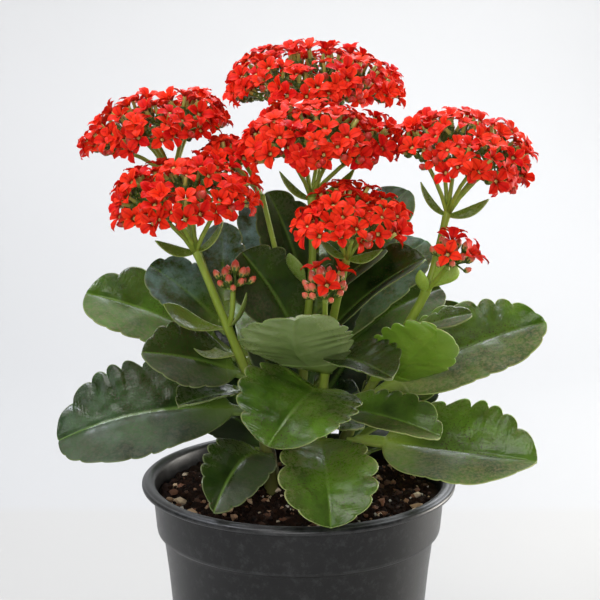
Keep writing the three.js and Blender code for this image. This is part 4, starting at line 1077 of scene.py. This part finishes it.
# The dust's grain decides it on most of a leaf, and the whole drift on a leaf's lower half.
matt = add_node(tree, "Mix", {"data_type": "FLOAT"}, {"Factor": lower, "A": dust, "B": drifts})
gloss = add_node(tree, "Mix", {"data_type": "FLOAT", "B": 0.7}, {"Factor": matt, "A": wax})
tree.links.new(whole, shader["Base Color"])
tree.links.new(gloss, shader["Roughness"])
tree.links.new(bump, shader["Normal"])
print("nodes in all:", len(tree.nodes))

# %% All the leaves
for seed, name in enumerate(LEAVES):
    rings, values = leaf_surface(name, seed)
    points, faces = loft(rings)
    solids = [] if name in INNER_LEAVES else [name]
    leaf = new_piece(name + "_blade", points, faces, leaf_skin, "leaf_green", solids, **values)
print("leaves:", len(LEAVES), "faces each:", len(leaf.data.polygons))

# %% [markdown]
# ## Bracts
# Where a stem forks it carries a pair of small leaves. They are narrow and pointed, hollow above,
# and curve up. Each is a loft too: lens-shaped rings whose width follows sin(pi s) to a power, round
# a line that sags a little between the stem and the tip. They have the leaves' own skin, painted
# lighter than the leaves as painted light against the heads' shadow, and lighter still at the fork
# of the young head on the right.

# %% Bracts
BRACT_RINGS = 26
BRACT_SIDES = 14
BRACT_THICKNESS = 1.3
BRACT_SAG = 0.12  # of its length
BRACT_HOLLOW = 0.22  # of its half width
BROAD_BRACT = 8  # from this width a bract is widest past its middle


def bract_surface(stem, height, tip, width, roll):
    """Rings of a bract: ellipses about the sagging line, bent up by a share of the half width times
    the square of the place across. Also returns the numbers that the leaf's material reads. A bract
    counts as partly stalk, so it comes out lighter than a leaf: painted light against the shade of
    the heads above."""
    tip = np.array(tip, float)
    root = at_height(STEM_CURVES[stem], height)
    chord = tip - root
    along = unit(chord)
    side = unit(np.cross(along, [0, 0, 1]))
    lift = np.cross(side, along)
    t = np.linspace(0, 1, BRACT_RINGS)[:, None]
    sag = BRACT_SAG * np.linalg.norm(chord)
    line = root + chord * t - lift * 4 * sag * t * (1 - t)
    ahead = unit(chord - lift * 4 * sag * (1 - 2 * t))
    turned = np.radians(roll)
    across = side * np.cos(turned) - lift * np.sin(turned)
    face = unit(np.cross(across, ahead))
    late = 1.8 if width > BROAD_BRACT else 1.1
    fresh = stem == "stem_right" and height < 210
    half = width / 2 * np.sin(np.pi * t[:, 0] ** late) ** 0.75 + 0.5 * (1 - t[:, 0])
    turn = 2 * np.pi * np.arange(BRACT_SIDES) / BRACT_SIDES
    thick = BRACT_THICKNESS * (0.3 + 0.7 * np.sin(np.pi * np.clip(t[:, 0], 0.02, 0.98)) ** 0.5)
    x = half[:, None] * np.cos(turn)
    z = thick[:, None] / 2 * np.sin(turn) + BRACT_HOLLOW * half[:, None] * np.cos(turn) ** 2
    rings = line[:, None] - across * x[:, :, None] + face[:, None] * z[:, :, None]
    near = half[:, None] * (1 - np.abs(np.cos(turn)))
    values = {
        "edge_mm": near + 0.25,
        "rib_mm": np.abs(x) + 0.6,
        # A bract's stalk share and lighter tone are painted light against the heads' shade, strongest at
        # the young head's fork.
        "stalk": np.full(x.shape, 0.7 if fresh else 0.3),
        "tone": np.full(x.shape, 0.9 if fresh else 0.62),
        "top": (np.sin(turn) >= 0) * 1.0 + 0 * x,
        "painted_sheen": 0 * x,
        "lower": 0 * x,
    }
    return rings[None], values


# %% All the bracts
for stem, (way, joint, sides, bracts) in STEMS.items():
    for number, (height, tip, width, roll) in enumerate(bracts, 1):
        rings, values = bract_surface(stem, height, tip, width, roll)
        points, faces = loft(rings)
        name = f"{stem}_bract_{number}"
        new_piece(name, points, faces, leaf_skin, "stem_green", **values)
    print(stem, "bracts:", len(bracts))

# %% [markdown]
# ## The flower heads
# Each stem ends in a flat-topped umbrella of small flowers, a cyme. A few rays spread from the fork,
# each ray branches again, and each branch carries a handful of flowers on short stalks. The flowers
# come to nearly one level, so together they make a dome. So the dome comes first: flowers are set
# over it by the golden angle, which spaces them evenly without rows, with some chance in their
# height and tilt. Then every flower is joined to the nearest branch point below, every branch
# point to the nearest ray's end, and every ray to the fork.

# %% Domes and what stands on them
GOLDEN_ANGLE = np.pi * (3 - 5**0.5)
# Each head: its fork, the centre of the dome's underside, radius, rise, lean, and a seed.
HEADS = {
    "head_top": ((9, 34, 266), (6, 38, 285.5), 41.5, 23.5, (0, 0.03, 1), 11),
    "head_left_back": ((-55, 10, 253), (-60, 9, 270), 32.5, 20.5, (-0.22, 0, 1), 23),
    "head_left_front": ((-43, -27, 227), (-47.5, -27, 244), 32, 22, (-0.1, -0.08, 1), 37),
    "head_middle": ((5.5, -6, 247), (8, -13, 266), 34, 22, (0, -0.08, 1), 41),
    "head_middle_side": ((-15.7, -3, 247), (-29, -1, 260), 14, 12, (-0.3, 0.1, 1), 53),
    "head_right": ((64, -5, 240), (70.8, -7, 259.5), 32, 23, (0.24, -0.14, 1), 67),
    "head_right_front": ((20, -37, 226), (20, -42, 237.5), 24, 18, (0.05, -0.15, 1), 71),
}
FLOWER_AREA = 59  # square millimetres of dome for each flower
FLOWER_TUBE = 7.5
PROUD = 2.2  # how far the highest flowers stand above the dome
DOME_SHARE = 0.99  # of a quarter turn from the dome's top to its rim, over which flowers stand


def dome_area(radius, rise):
    """Half an ellipsoid's area by Knud Thomsen's rule, with p = 1.6."""
    p = 1.6
    flat, tall = radius ** (2 * p), (radius * rise) ** p
    return 2 * np.pi * ((flat + 2 * tall) / 3) ** (1 / p)


def spread(count, widest, first=0.0):
    """Even directions by the golden angle: the turn grows by it from each to the next, and the cosine
    of the angle from the axis falls in even steps to that of `widest`."""
    k = np.arange(count) + 0.5
    polar = np.arccos(1 - k / count * (1 - np.cos(widest)))
    return polar, k * GOLDEN_ANGLE + first


def on_dome(radius, rise, polar, turn):
    """Points of an ellipsoid: radius times the sine of the polar angle, times the cosine and the sine
    of the turn, and rise times its cosine. Also the directions square to it there."""
    point = np.stack([
        radius * np.sin(polar) * np.cos(turn), radius * np.sin(polar) * np.sin(turn),
        rise * np.cos(polar),
    ], axis=1)
    return point, unit(point / np.array([radius, radius, rise]) ** 2)


def join_nearest(points, targets):
    """For each point, the number of the nearest target."""
    return np.argmin(np.linalg.norm(points[:, None] - targets[None], axis=2), axis=1)


for name, head in HEADS.items():
    print(name, "dome in square mm:", round(dome_area(head[2], head[3])))

# %% [markdown]
# An open flower is a narrow tube with four pointed petals that spread from its mouth. A petal is
# a thin loft too: rings of four points (edge, top, edge, underside) along its length, with widths
# from a short list and the middle lower than the edges, like a shallow boat. Tilting a petal about
# its base opens or closes the flower. Its two edges are marked sharp, so that light doesn't wrap
# round something so thin. A bud is a small egg. All of these are repeated by the hundred, so each
# has few faces.

# %% Flowers and buds
PETALS = 4
PETAL_LENGTH = 6.0
PETAL_ROWS = np.array([0.05, 0.3, 0.6, 0.86, 1.0])  # shares of the length
PETAL_WIDTHS = np.array([0.45, 1.6, 2.2, 1.35, 0.15])  # half widths in millimetres
PETAL_RISES = np.array([-1.1, -0.1, 0.25, 0.1, -0.6])
PETAL_ROUND = np.array([[1, 0], [0, 1], [-1, 0], [0, -1]])  # one ring: across, and up
PETAL_THICKNESS = 0.24
BOAT = 0.3  # how far the edges rise, for each millimetre of half width


def flowers(at, axes, spins, opens, sizes):
    """Petals of flowers. A petal's points lie at their row's share of the length, half a width to
    either side, and up by the row's rise + the boat's. Along and up are turned about the petal's
    base by its opening angle, and four quarter turns about the axis make a flower. Returns points,
    faces and what their material reads."""
    count = len(at)
    own = facing(axes, spins)
    side, level = PETAL_ROUND[:, 0], PETAL_ROUND[:, 1]
    r = PETAL_LENGTH * PETAL_ROWS[:, None] + 0 * side
    y = PETAL_WIDTHS[:, None] * side
    z = PETAL_RISES[:, None] + BOAT * np.abs(y) + PETAL_THICKNESS / 2 * level
    c, s = np.cos(opens)[:, :, None, None], np.sin(opens)[:, :, None, None]
    base = PETAL_LENGTH * PETAL_ROWS[0]
    out = base + (r - base) * c - z * s
    up = (r - base) * s + z * c
    turn = (np.pi / 2 * np.arange(PETALS))[None, :, None, None]
    shape = np.stack([
        out * np.cos(turn) - y * np.sin(turn), out * np.sin(turn) + y * np.cos(turn),
        up + 0 * turn,
    ], axis=-1) * sizes[:, None, None, None, None]
    points = np.einsum("nprcj,njk->nprck", shape, own) + at[:, None, None, None]
    points, faces = loft(points.reshape(count * PETALS, len(PETAL_ROWS), 4, 3))
    full = (count, PETALS, len(PETAL_ROWS), 4)
    tint = 0.3 * rng.random((count, PETALS, 1, 1)) + 0.7 * rng.random((count, 1, 1, 1))
    values = {
        "length_share": np.broadcast_to(PETAL_ROWS[:, None], full),
        "edge_share": np.broadcast_to(np.abs(side), full),
        "tint": np.broadcast_to(tint, full),
    }
    return points, faces, values


def sharpen_edges(petals):
    """Marks the edges that run along both sides of each petal: they join points whose places in
    their rings are alike, and are the first or the third of four."""
    mesh = petals.data
    ends = np.zeros(2 * len(mesh.edges), int)
    mesh.edges.foreach_get("vertices", ends)
    place = ends.reshape(-1, 2) % 4
    sharp = (place[:, 0] == place[:, 1]) & (place[:, 0] % 2 == 0)
    layer = mesh.attributes.new("sharp_edge", "BOOLEAN", "EDGE")
    layer.data.foreach_set("value", sharp)


# Small turned shapes: places along them as shares of a length, and radii in millimetres there.
TUBE_SIDES = 5
TUBE_STATIONS = np.array([-0.1, -0.35, -1.0])
TUBE_RADII = np.array([0.9, 0.8, 1.15])
TUBE_SHARES = np.array([0.3, 0.12, 0.05])  # the bud's material reads these, and shows mostly green
BUD_SIDES = 6
BUD_STATIONS = np.array([0, 0.15, 0.45, 0.8, 1.0])
BUD_RADII = np.array([0.7, 1.65, 2.0, 1.4, 0.15])
BUD_LENGTH = 5.4
BUD_CUP_STATIONS = np.array([-0.2, 0.05, 0.42])
BUD_CUP_RADII = np.array([0.55, 1.6, 2.1])
CALYX_STATIONS = np.array([-1.1, -0.95, -0.66])
CALYX_RADII = np.array([0.5, 1.35, 1.45])


def stand(at, axes, lengths, stations, radii, sides=TUBE_SIDES):
    """Small turned shapes along each axis: rings at stations times the length, with these radii."""
    paths = at[:, None] + axes[:, None] * stations[None, :, None] * lengths[:, None, None]
    return tubes(paths, radii * np.ones((len(at), 1)), sides)


# %% [markdown]
# Petals are thin and full of pigment, scarlet and brownish in the throat. Along their borders they
# are painted a lighter orange-red, partly their own colour and partly a painted highlight, and the
# crease down their middle is painted a deeper scarlet as painted shade. Their skin is a fine satin,
# so the shader gets a low gloss and some subsurface scattering. Buds are coral while young and turn
# crimson as they ripen, with a yellow green foot and a redder point. Stalks are green, painted
# deeper on cups and flower stalks as painted shade between the flowers.

# %% Scarlet petal
petal_skin, tree, shader, where = new_material(
    "scarlet petal",
    IOR=1.33,
    Specular_IOR_Level=0.15,
    Roughness=0.5,
    Subsurface_Weight=0.15,
    Subsurface_Radius=(0.003, 0.0006, 0.0003),
    Subsurface_Scale=0.3,
)
length_share, edge_share, tint = (
    add_node(tree, "Attribute", {"attribute_name": name}, output="Fac")
    for name in ("length_share", "edge_share", "tint")
)
scarlet = add_node(tree, "Mix", {"data_type": "RGBA", "A": "#d00814", "B": "#ff3a1a"}, {"Factor": tint})
throat = add_node(
    tree,
    "MapRange",
    {"From Min": 0.05, "From Max": 0.28, "To Min": 1.0, "To Max": 0.0},
    {"Value": length_share},
)
throated = add_node(tree, "Mix", {"data_type": "RGBA", "B": "#4c1e08"}, {"Factor": throat, "A": scarlet})
# Lighter orange along the edges: partly the petals' own colour, partly a painted highlight.
painted_border_highlight = add_node(tree, "MapRange", {"From Min": 0.7, "To Max": 0.4}, {"Value": edge_share})
with_border_highlight = add_node(tree, "Mix", {"data_type": "RGBA", "B": "#ff4c24"}, {"Factor": painted_border_highlight, "A": throated})
# A deeper scarlet down the middle of each petal: painted shade in its crease.
painted_crease_shade = add_node(
    tree, "MapRange", {"From Max": 0.3, "To Min": 0.45, "To Max": 0.0}, {"Value": edge_share}
)
with_crease_shade = add_node(tree, "Mix", {"data_type": "RGBA", "B": "#8e0502"}, {"Factor": painted_crease_shade, "A": with_border_highlight})
tree.links.new(with_crease_shade, shader["Base Color"])

# %% Coral bud
bud_skin, tree, shader, where = new_material(
    "coral bud",
    IOR=1.42,
    Roughness=0.42,
    Subsurface_Weight=0.2,
    Subsurface_Radius=(0.003, 0.001, 0.0006),
    Subsurface_Scale=0.3,
)
length_share, tint = (
    add_node(tree, "Attribute", {"attribute_name": name}, output="Fac")
    for name in ("length_share", "tint")
)
ripe = add_node(tree, "Mix", {"data_type": "RGBA", "A": "#f4a078", "B": "#a80c14"}, {"Factor": tint})
foot = add_node(
    tree,
    "MapRange",
    {"From Min": 0.15, "From Max": 0.6, "To Min": 1.0, "To Max": 0.0},
    {"Value": length_share},
)
footed = add_node(tree, "Mix", {"data_type": "RGBA", "B": "#b4b458"}, {"Factor": foot, "A": ripe})
point = add_node(
    tree, "MapRange", {"From Min": 0.5, "From Max": 1.0, "To Max": 0.6}, {"Value": length_share}
)
pointed = add_node(tree, "Mix", {"data_type": "RGBA", "B": "#dc3a30"}, {"Factor": point, "A": footed})
tree.links.new(pointed, shader["Base Color"])

# %% Flower stalk
stalk_green, tree, shader, where = new_material(
    "flower stalk", IOR=1.42, Roughness=0.45, Subsurface_Weight=0.1, Subsurface_Scale=0.0005
)
patch = add_node(tree, "TexNoise", {"Scale": noise_scale(3.33), "Detail": 2}, {"Vector": where})
ray_green = add_node(
    tree, "Mix", {"data_type": "RGBA", "A": "#6b8422", "B": "#a8b84c"}, {"Factor": patch}
)
# Calyces, cups and flower stalks get the deeper green: painted shade between the flowers.
shaded_cup_green = add_node(
    tree, "Mix", {"data_type": "RGBA", "A": "#2c4412", "B": "#5c7426"}, {"Factor": patch}
)
stout = add_node(tree, "Attribute", {"attribute_name": "stout"}, output="Fac")
green = add_node(tree, "Mix", {"data_type": "RGBA"}, {"Factor": stout, "A": shaded_cup_green, "B": ray_green})
tree.links.new(green, shader["Base Color"])

# %% Putting a head together
RAY_RADII = (1.0, 0.85)
BRANCH_RADII = (0.65, 0.5)
PEDICEL_RADIUS = 0.4
CURVE_POINTS = 4
STALK_BEND = 0.15
BUD_FOOT = 0.2  # from a bud's foot down to its stalk's end
LOOK_BACK = 4  # a flower looks for its branch point from so far down its own axis
RAY_FOOT = 1.5  # the rays start so far below the fork, inside the stem


def merge(lofts):
    """Several sets of points and faces as one."""
    starts = np.cumsum([0] + [len(points) for points, _ in lofts])
    faces = [part + start for (_, parts), start in zip(lofts, starts) for part in parts]
    return np.concatenate([points for points, _ in lofts]), faces


def bow(starts, middles, ends, count):
    """Points on curves from start to end that lean towards a middle point: (1-t)^2 times the start,
    2t(1-t) times the middle and t^2 times the end."""
    t = np.linspace(0, 1, count)[None, :, None]
    return (1 - t) ** 2 * starts[:, None] + 2 * t * (1 - t) * middles[:, None] + t**2 * ends[:, None]


def curved(starts, ends, axes, first, last, sides=6):
    """Tubes from start to end that leave upwards and arrive along the axes. The middle point of each
    is moved by a share of the length along up minus the axis."""
    length = np.linalg.norm(ends - starts, axis=1, keepdims=True)
    middles = (starts + ends) / 2 + STALK_BEND * length * ([0, 0, 1] - axes)
    radii = np.linspace(first, last, CURVE_POINTS)[None] * np.ones((len(starts), 1))
    return tubes(bow(starts, middles, ends, CURVE_POINTS), radii, sides)


def closed_parts(blooms, buds):
    """Flower tubes and buds as one skin, with what the bud's material reads."""
    tube_rings = stand(
        blooms["at"], blooms["axes"], FLOWER_TUBE * blooms["sizes"], TUBE_STATIONS, TUBE_RADII
    )
    bud_rings = stand(
        buds["at"], buds["axes"], BUD_LENGTH * buds["sizes"], BUD_STATIONS,
        BUD_RADII * buds["sizes"][:, None], sides=BUD_SIDES,
    )
    points, faces = merge([loft(tube_rings), loft(bud_rings)])
    tube_shares = np.repeat(np.tile(TUBE_SHARES, len(blooms["at"])), TUBE_SIDES)
    bud_shares = np.repeat(np.tile(BUD_STATIONS, len(buds["at"])), BUD_SIDES)
    bud_tints = np.repeat(buds["ripeness"], len(BUD_STATIONS) * BUD_SIDES)
    values = {
        "length_share": np.concatenate([tube_shares, bud_shares]),
        "tint": np.concatenate([0 * tube_shares, bud_tints]),
    }
    return points, faces, values


def green_parts(fork, blooms, buds, branches, rays):
    """Calyces, bud cups, flower stalks, branches and rays as one skin, and how stout and unshaded each
    part is: calyces, cups and flower stalks are painted a deep green as painted shade between the
    flowers, branches lighter, rays as light as the stem."""
    at, axes, lengths = blooms["at"], blooms["axes"], FLOWER_TUBE * blooms["sizes"]
    bud_at, bud_axes, bud_lengths = buds["at"], buds["axes"], BUD_LENGTH * buds["sizes"]
    cup_radii = BUD_CUP_RADII * buds["sizes"][:, None]
    ends = np.concatenate([at - axes * lengths[:, None], bud_at - bud_axes * BUD_FOOT])
    directions = np.concatenate([axes, bud_axes])
    origin = branches[join_nearest(ends - directions * LOOK_BACK, branches)]
    starts = rays[join_nearest(branches, rays)]
    toward = unit(branches - starts + 1e-6)
    foot = np.broadcast_to(fork - [0, 0, RAY_FOOT], rays.shape)
    parts = [
        loft(stand(at, axes, lengths, CALYX_STATIONS, CALYX_RADII)),
        loft(stand(bud_at, bud_axes, bud_lengths, BUD_CUP_STATIONS, cup_radii)),
        loft(curved(origin, ends, directions, PEDICEL_RADIUS, PEDICEL_RADIUS, sides=5)),
        loft(curved(starts, branches, toward, *BRANCH_RADII)),
        loft(curved(foot, rays, unit(rays - fork), *RAY_RADII, sides=8)),
    ]
    stout = np.repeat([0.0, 0.0, 0.15, 0.5, 1.0], [len(points) for points, _ in parts])
    return *merge(parts), stout


def build_head(name, fork, blooms, buds, branches, rays):
    """The three pieces of a head: petals, what is closed and red, and what is green. `blooms` and
    `buds` hold places, axes and sizes, with the turn and the opening of each flower and the
    ripeness of each bud."""
    if len(blooms["at"]):
        points, faces, values = flowers(**blooms)
        petals = new_piece(name + "_petals", points, faces, petal_skin, "petal_red", **values)
        sharpen_edges(petals)
    points, faces, values = closed_parts(blooms, buds)
    new_piece(name + "_buds", points, faces, bud_skin, "petal_red", [name], **values)
    points, faces, stout = green_parts(np.array(fork, float), blooms, buds, branches, rays)
    new_piece(name + "_stalks", points, faces, stalk_green, "stem_green", stout=stout)
    print(name, "flowers:", len(blooms["at"]), "buds:", len(buds["at"]))


# %% [markdown]
# On a real head each ray's flowers make a low mound of their own, so the places are sunk by the
# square of their distance to the nearest mound's top, and then by chance. Buds stand lower, most of
# them round the dome's underside.

# %% Places on a dome
FLOWERS_PER_MOUND = 14
MOUND_SPREAD = 1.3  # radians from the head's axis to the outermost mounds
MOUND_REACH = 16
MOUND_DROP = 3.6  # at that distance from a mound's top
DEEP_SHARE = 0.15  # of the flowers stand lower than the rest
DEEPER = 4
BUD_DOME_WITHIN = 6.5  # how far the buds' dome lies inside the flowers', across
BUD_DOME_BELOW = 5  # and in height
BRANCH_SPREAD = 1.5  # radians from the axis to the outermost branches and rays
BRANCH_DEPTH = 13  # below the flowers, and less in a small head
SMALL_HEAD = 20  # a head up to this radius has three rays, a larger one six


def place_flowers(radius, rise, count, seed):
    """Open flowers over a dome. Each one's angle from the axis and its turn are moved a little by
    chance, and so are its height, its tilt, how far its petals are raised, and its size."""
    polar, turn = spread(count, np.pi / 2 * DOME_SHARE, seed)
    polar = polar + 0.05 * rng.normal(size=count)
    turn = turn + 0.12 * rng.normal(size=count)
    at, normals = on_dome(radius, rise, polar, turn)
    mound_polar, mound_turn = spread(max(2, count // FLOWERS_PER_MOUND), MOUND_SPREAD, seed)
    mounds, _ = on_dome(radius, rise, mound_polar, mound_turn)
    mound = join_nearest(at, mounds)
    off = np.linalg.norm(at - mounds[mound], axis=1) / MOUND_REACH
    sunk = MOUND_DROP * off**2 + np.abs(rng.normal(size=count)) * 1.2
    sunk = sunk + (1.8 * rng.random(len(mounds)))[mound]
    sunk = np.where(rng.random(count) < DEEP_SHARE, sunk + DEEPER, sunk)
    at = at + normals * (PROUD - sunk[:, None])
    tilt = 0.02 * (at - mounds[mound]) + 0.22 * rng.normal(size=(count, 3)) + [0, 0, 0.25]
    spins = 2 * np.pi * rng.random(count)
    lifts = 12 + 10 * rng.normal(size=(count, 1)) + 7 * rng.normal(size=(count, PETALS))
    sizes = 0.9 + 0.2 * rng.random(count)
    return dict(at=at, axes=unit(normals + tilt), spins=spins, opens=np.radians(lifts), sizes=sizes)


def place_buds(radius, rise, count):
    """Buds on a smaller dome inside, most of them near its rim."""
    polar = np.pi / 2 * (0.55 + 0.52 * rng.random(count) ** 0.6)
    turn = 2 * np.pi * rng.random(count)
    at, normals = on_dome(radius - BUD_DOME_WITHIN, rise - BUD_DOME_BELOW, polar, turn)
    at = at - normals * (2 * rng.random((count, 1)))
    axes = unit(normals + 0.3 * rng.normal(size=(count, 3)) + [0, 0, 0.35])
    sizes = 0.65 + 0.35 * rng.random(count)
    return dict(at=at, axes=axes, sizes=sizes, ripeness=0.75 + 0.25 * rng.random(count))


def place_branches(radius, rise, count, seed):
    """Branch points on a dome well inside, and the rays' ends on a low one, near the fork."""
    depth = min(BRANCH_DEPTH, 0.55 * radius)
    polar, turn = spread(max(3, count // 4), BRANCH_SPREAD, seed)
    branches, _ = on_dome(radius - depth, max(rise - depth, 2), polar, turn)
    polar, turn = spread(6 if radius > SMALL_HEAD else 3, BRANCH_SPREAD, seed)
    rays, _ = on_dome(0.55 * radius, 0.25 * rise, polar, turn)
    return branches, rays - [0, 0, 0.06 * radius]


# %% The seven open heads
for name, (fork, centre, radius, rise, lean, seed) in HEADS.items():
    rng = np.random.default_rng(seed)
    own = facing(np.array([lean], float), np.zeros(1))[0]
    count = int(dome_area(radius, rise) / FLOWER_AREA)
    blooms = place_flowers(radius, rise, count, seed)
    buds = place_buds(radius, rise, max(4, count // 3))
    branches, rays = place_branches(radius, rise, count, seed)
    for group in (blooms, buds):
        group["at"] = group["at"] @ own + centre
        group["axes"] = group["axes"] @ own
    build_head(name, fork, blooms, buds, branches @ own + centre, rays @ own + centre)

# %% [markdown]
# The three young heads are tight bunches: a short stalk that divides into a few small branches, each
# with buds and perhaps an open flower.

# %% Young heads
YOUNG_HEADS = {  # fork, the way it points, its reach, open flowers, buds, seed
    "young_head_right": ((63, -18, 218), (0.4, -0.4, 1), 13, 5, 14, 83),
    "young_head_front": ((10.8, -44, 209), (0, -0.3, 1), 13, 3, 22, 97),
    "young_head_left": ((-27.5, -26, 209), (0, -0.1, 1), 10.5, 0, 14, 101),
}
for name, (fork, up, reach, many, bud_count, seed) in YOUNG_HEADS.items():
    rng = np.random.default_rng(seed)
    own = facing(np.array([up], float), np.zeros(1))[0]
    out = on_dome(1, 1, *spread(many, 0.9, seed))[0] @ own
    at = fork + out * reach * (1.05 + 0.15 * rng.random((many, 1)))
    bud_polar, bud_turn = spread(bud_count, 1.25, seed + 1)
    bud_out = on_dome(1, 1, bud_polar, bud_turn)[0] @ own
    bud_at = fork + bud_out * reach * (0.55 + 0.25 * rng.random((bud_count, 1)))
    branches = fork + on_dome(1, 1, *spread(5, 1.1, seed))[0] @ own * reach * 0.32
    # The buds at the top are the oldest: larger, and redder.
    age = np.cos(bud_polar)
    blooms = {
        "at": at,
        "axes": out,
        "spins": 2 * np.pi * rng.random(many),
        "opens": np.radians(15 + 9 * rng.normal(size=(many, PETALS))),
        "sizes": 1.08 + 0.1 * rng.random(many),
    }
    buds = {
        "at": bud_at,
        "axes": unit(bud_out + [0, 0, 0.5]),
        "sizes": 0.58 + 0.34 * age**2 + 0.1 * rng.random(bud_count),
        "ripeness": 0.1 + 0.45 * age + 0.25 * rng.random(bud_count),
    }
    build_head(name, fork, blooms, buds, branches, np.array([fork]) + [0, 0, 0.5])
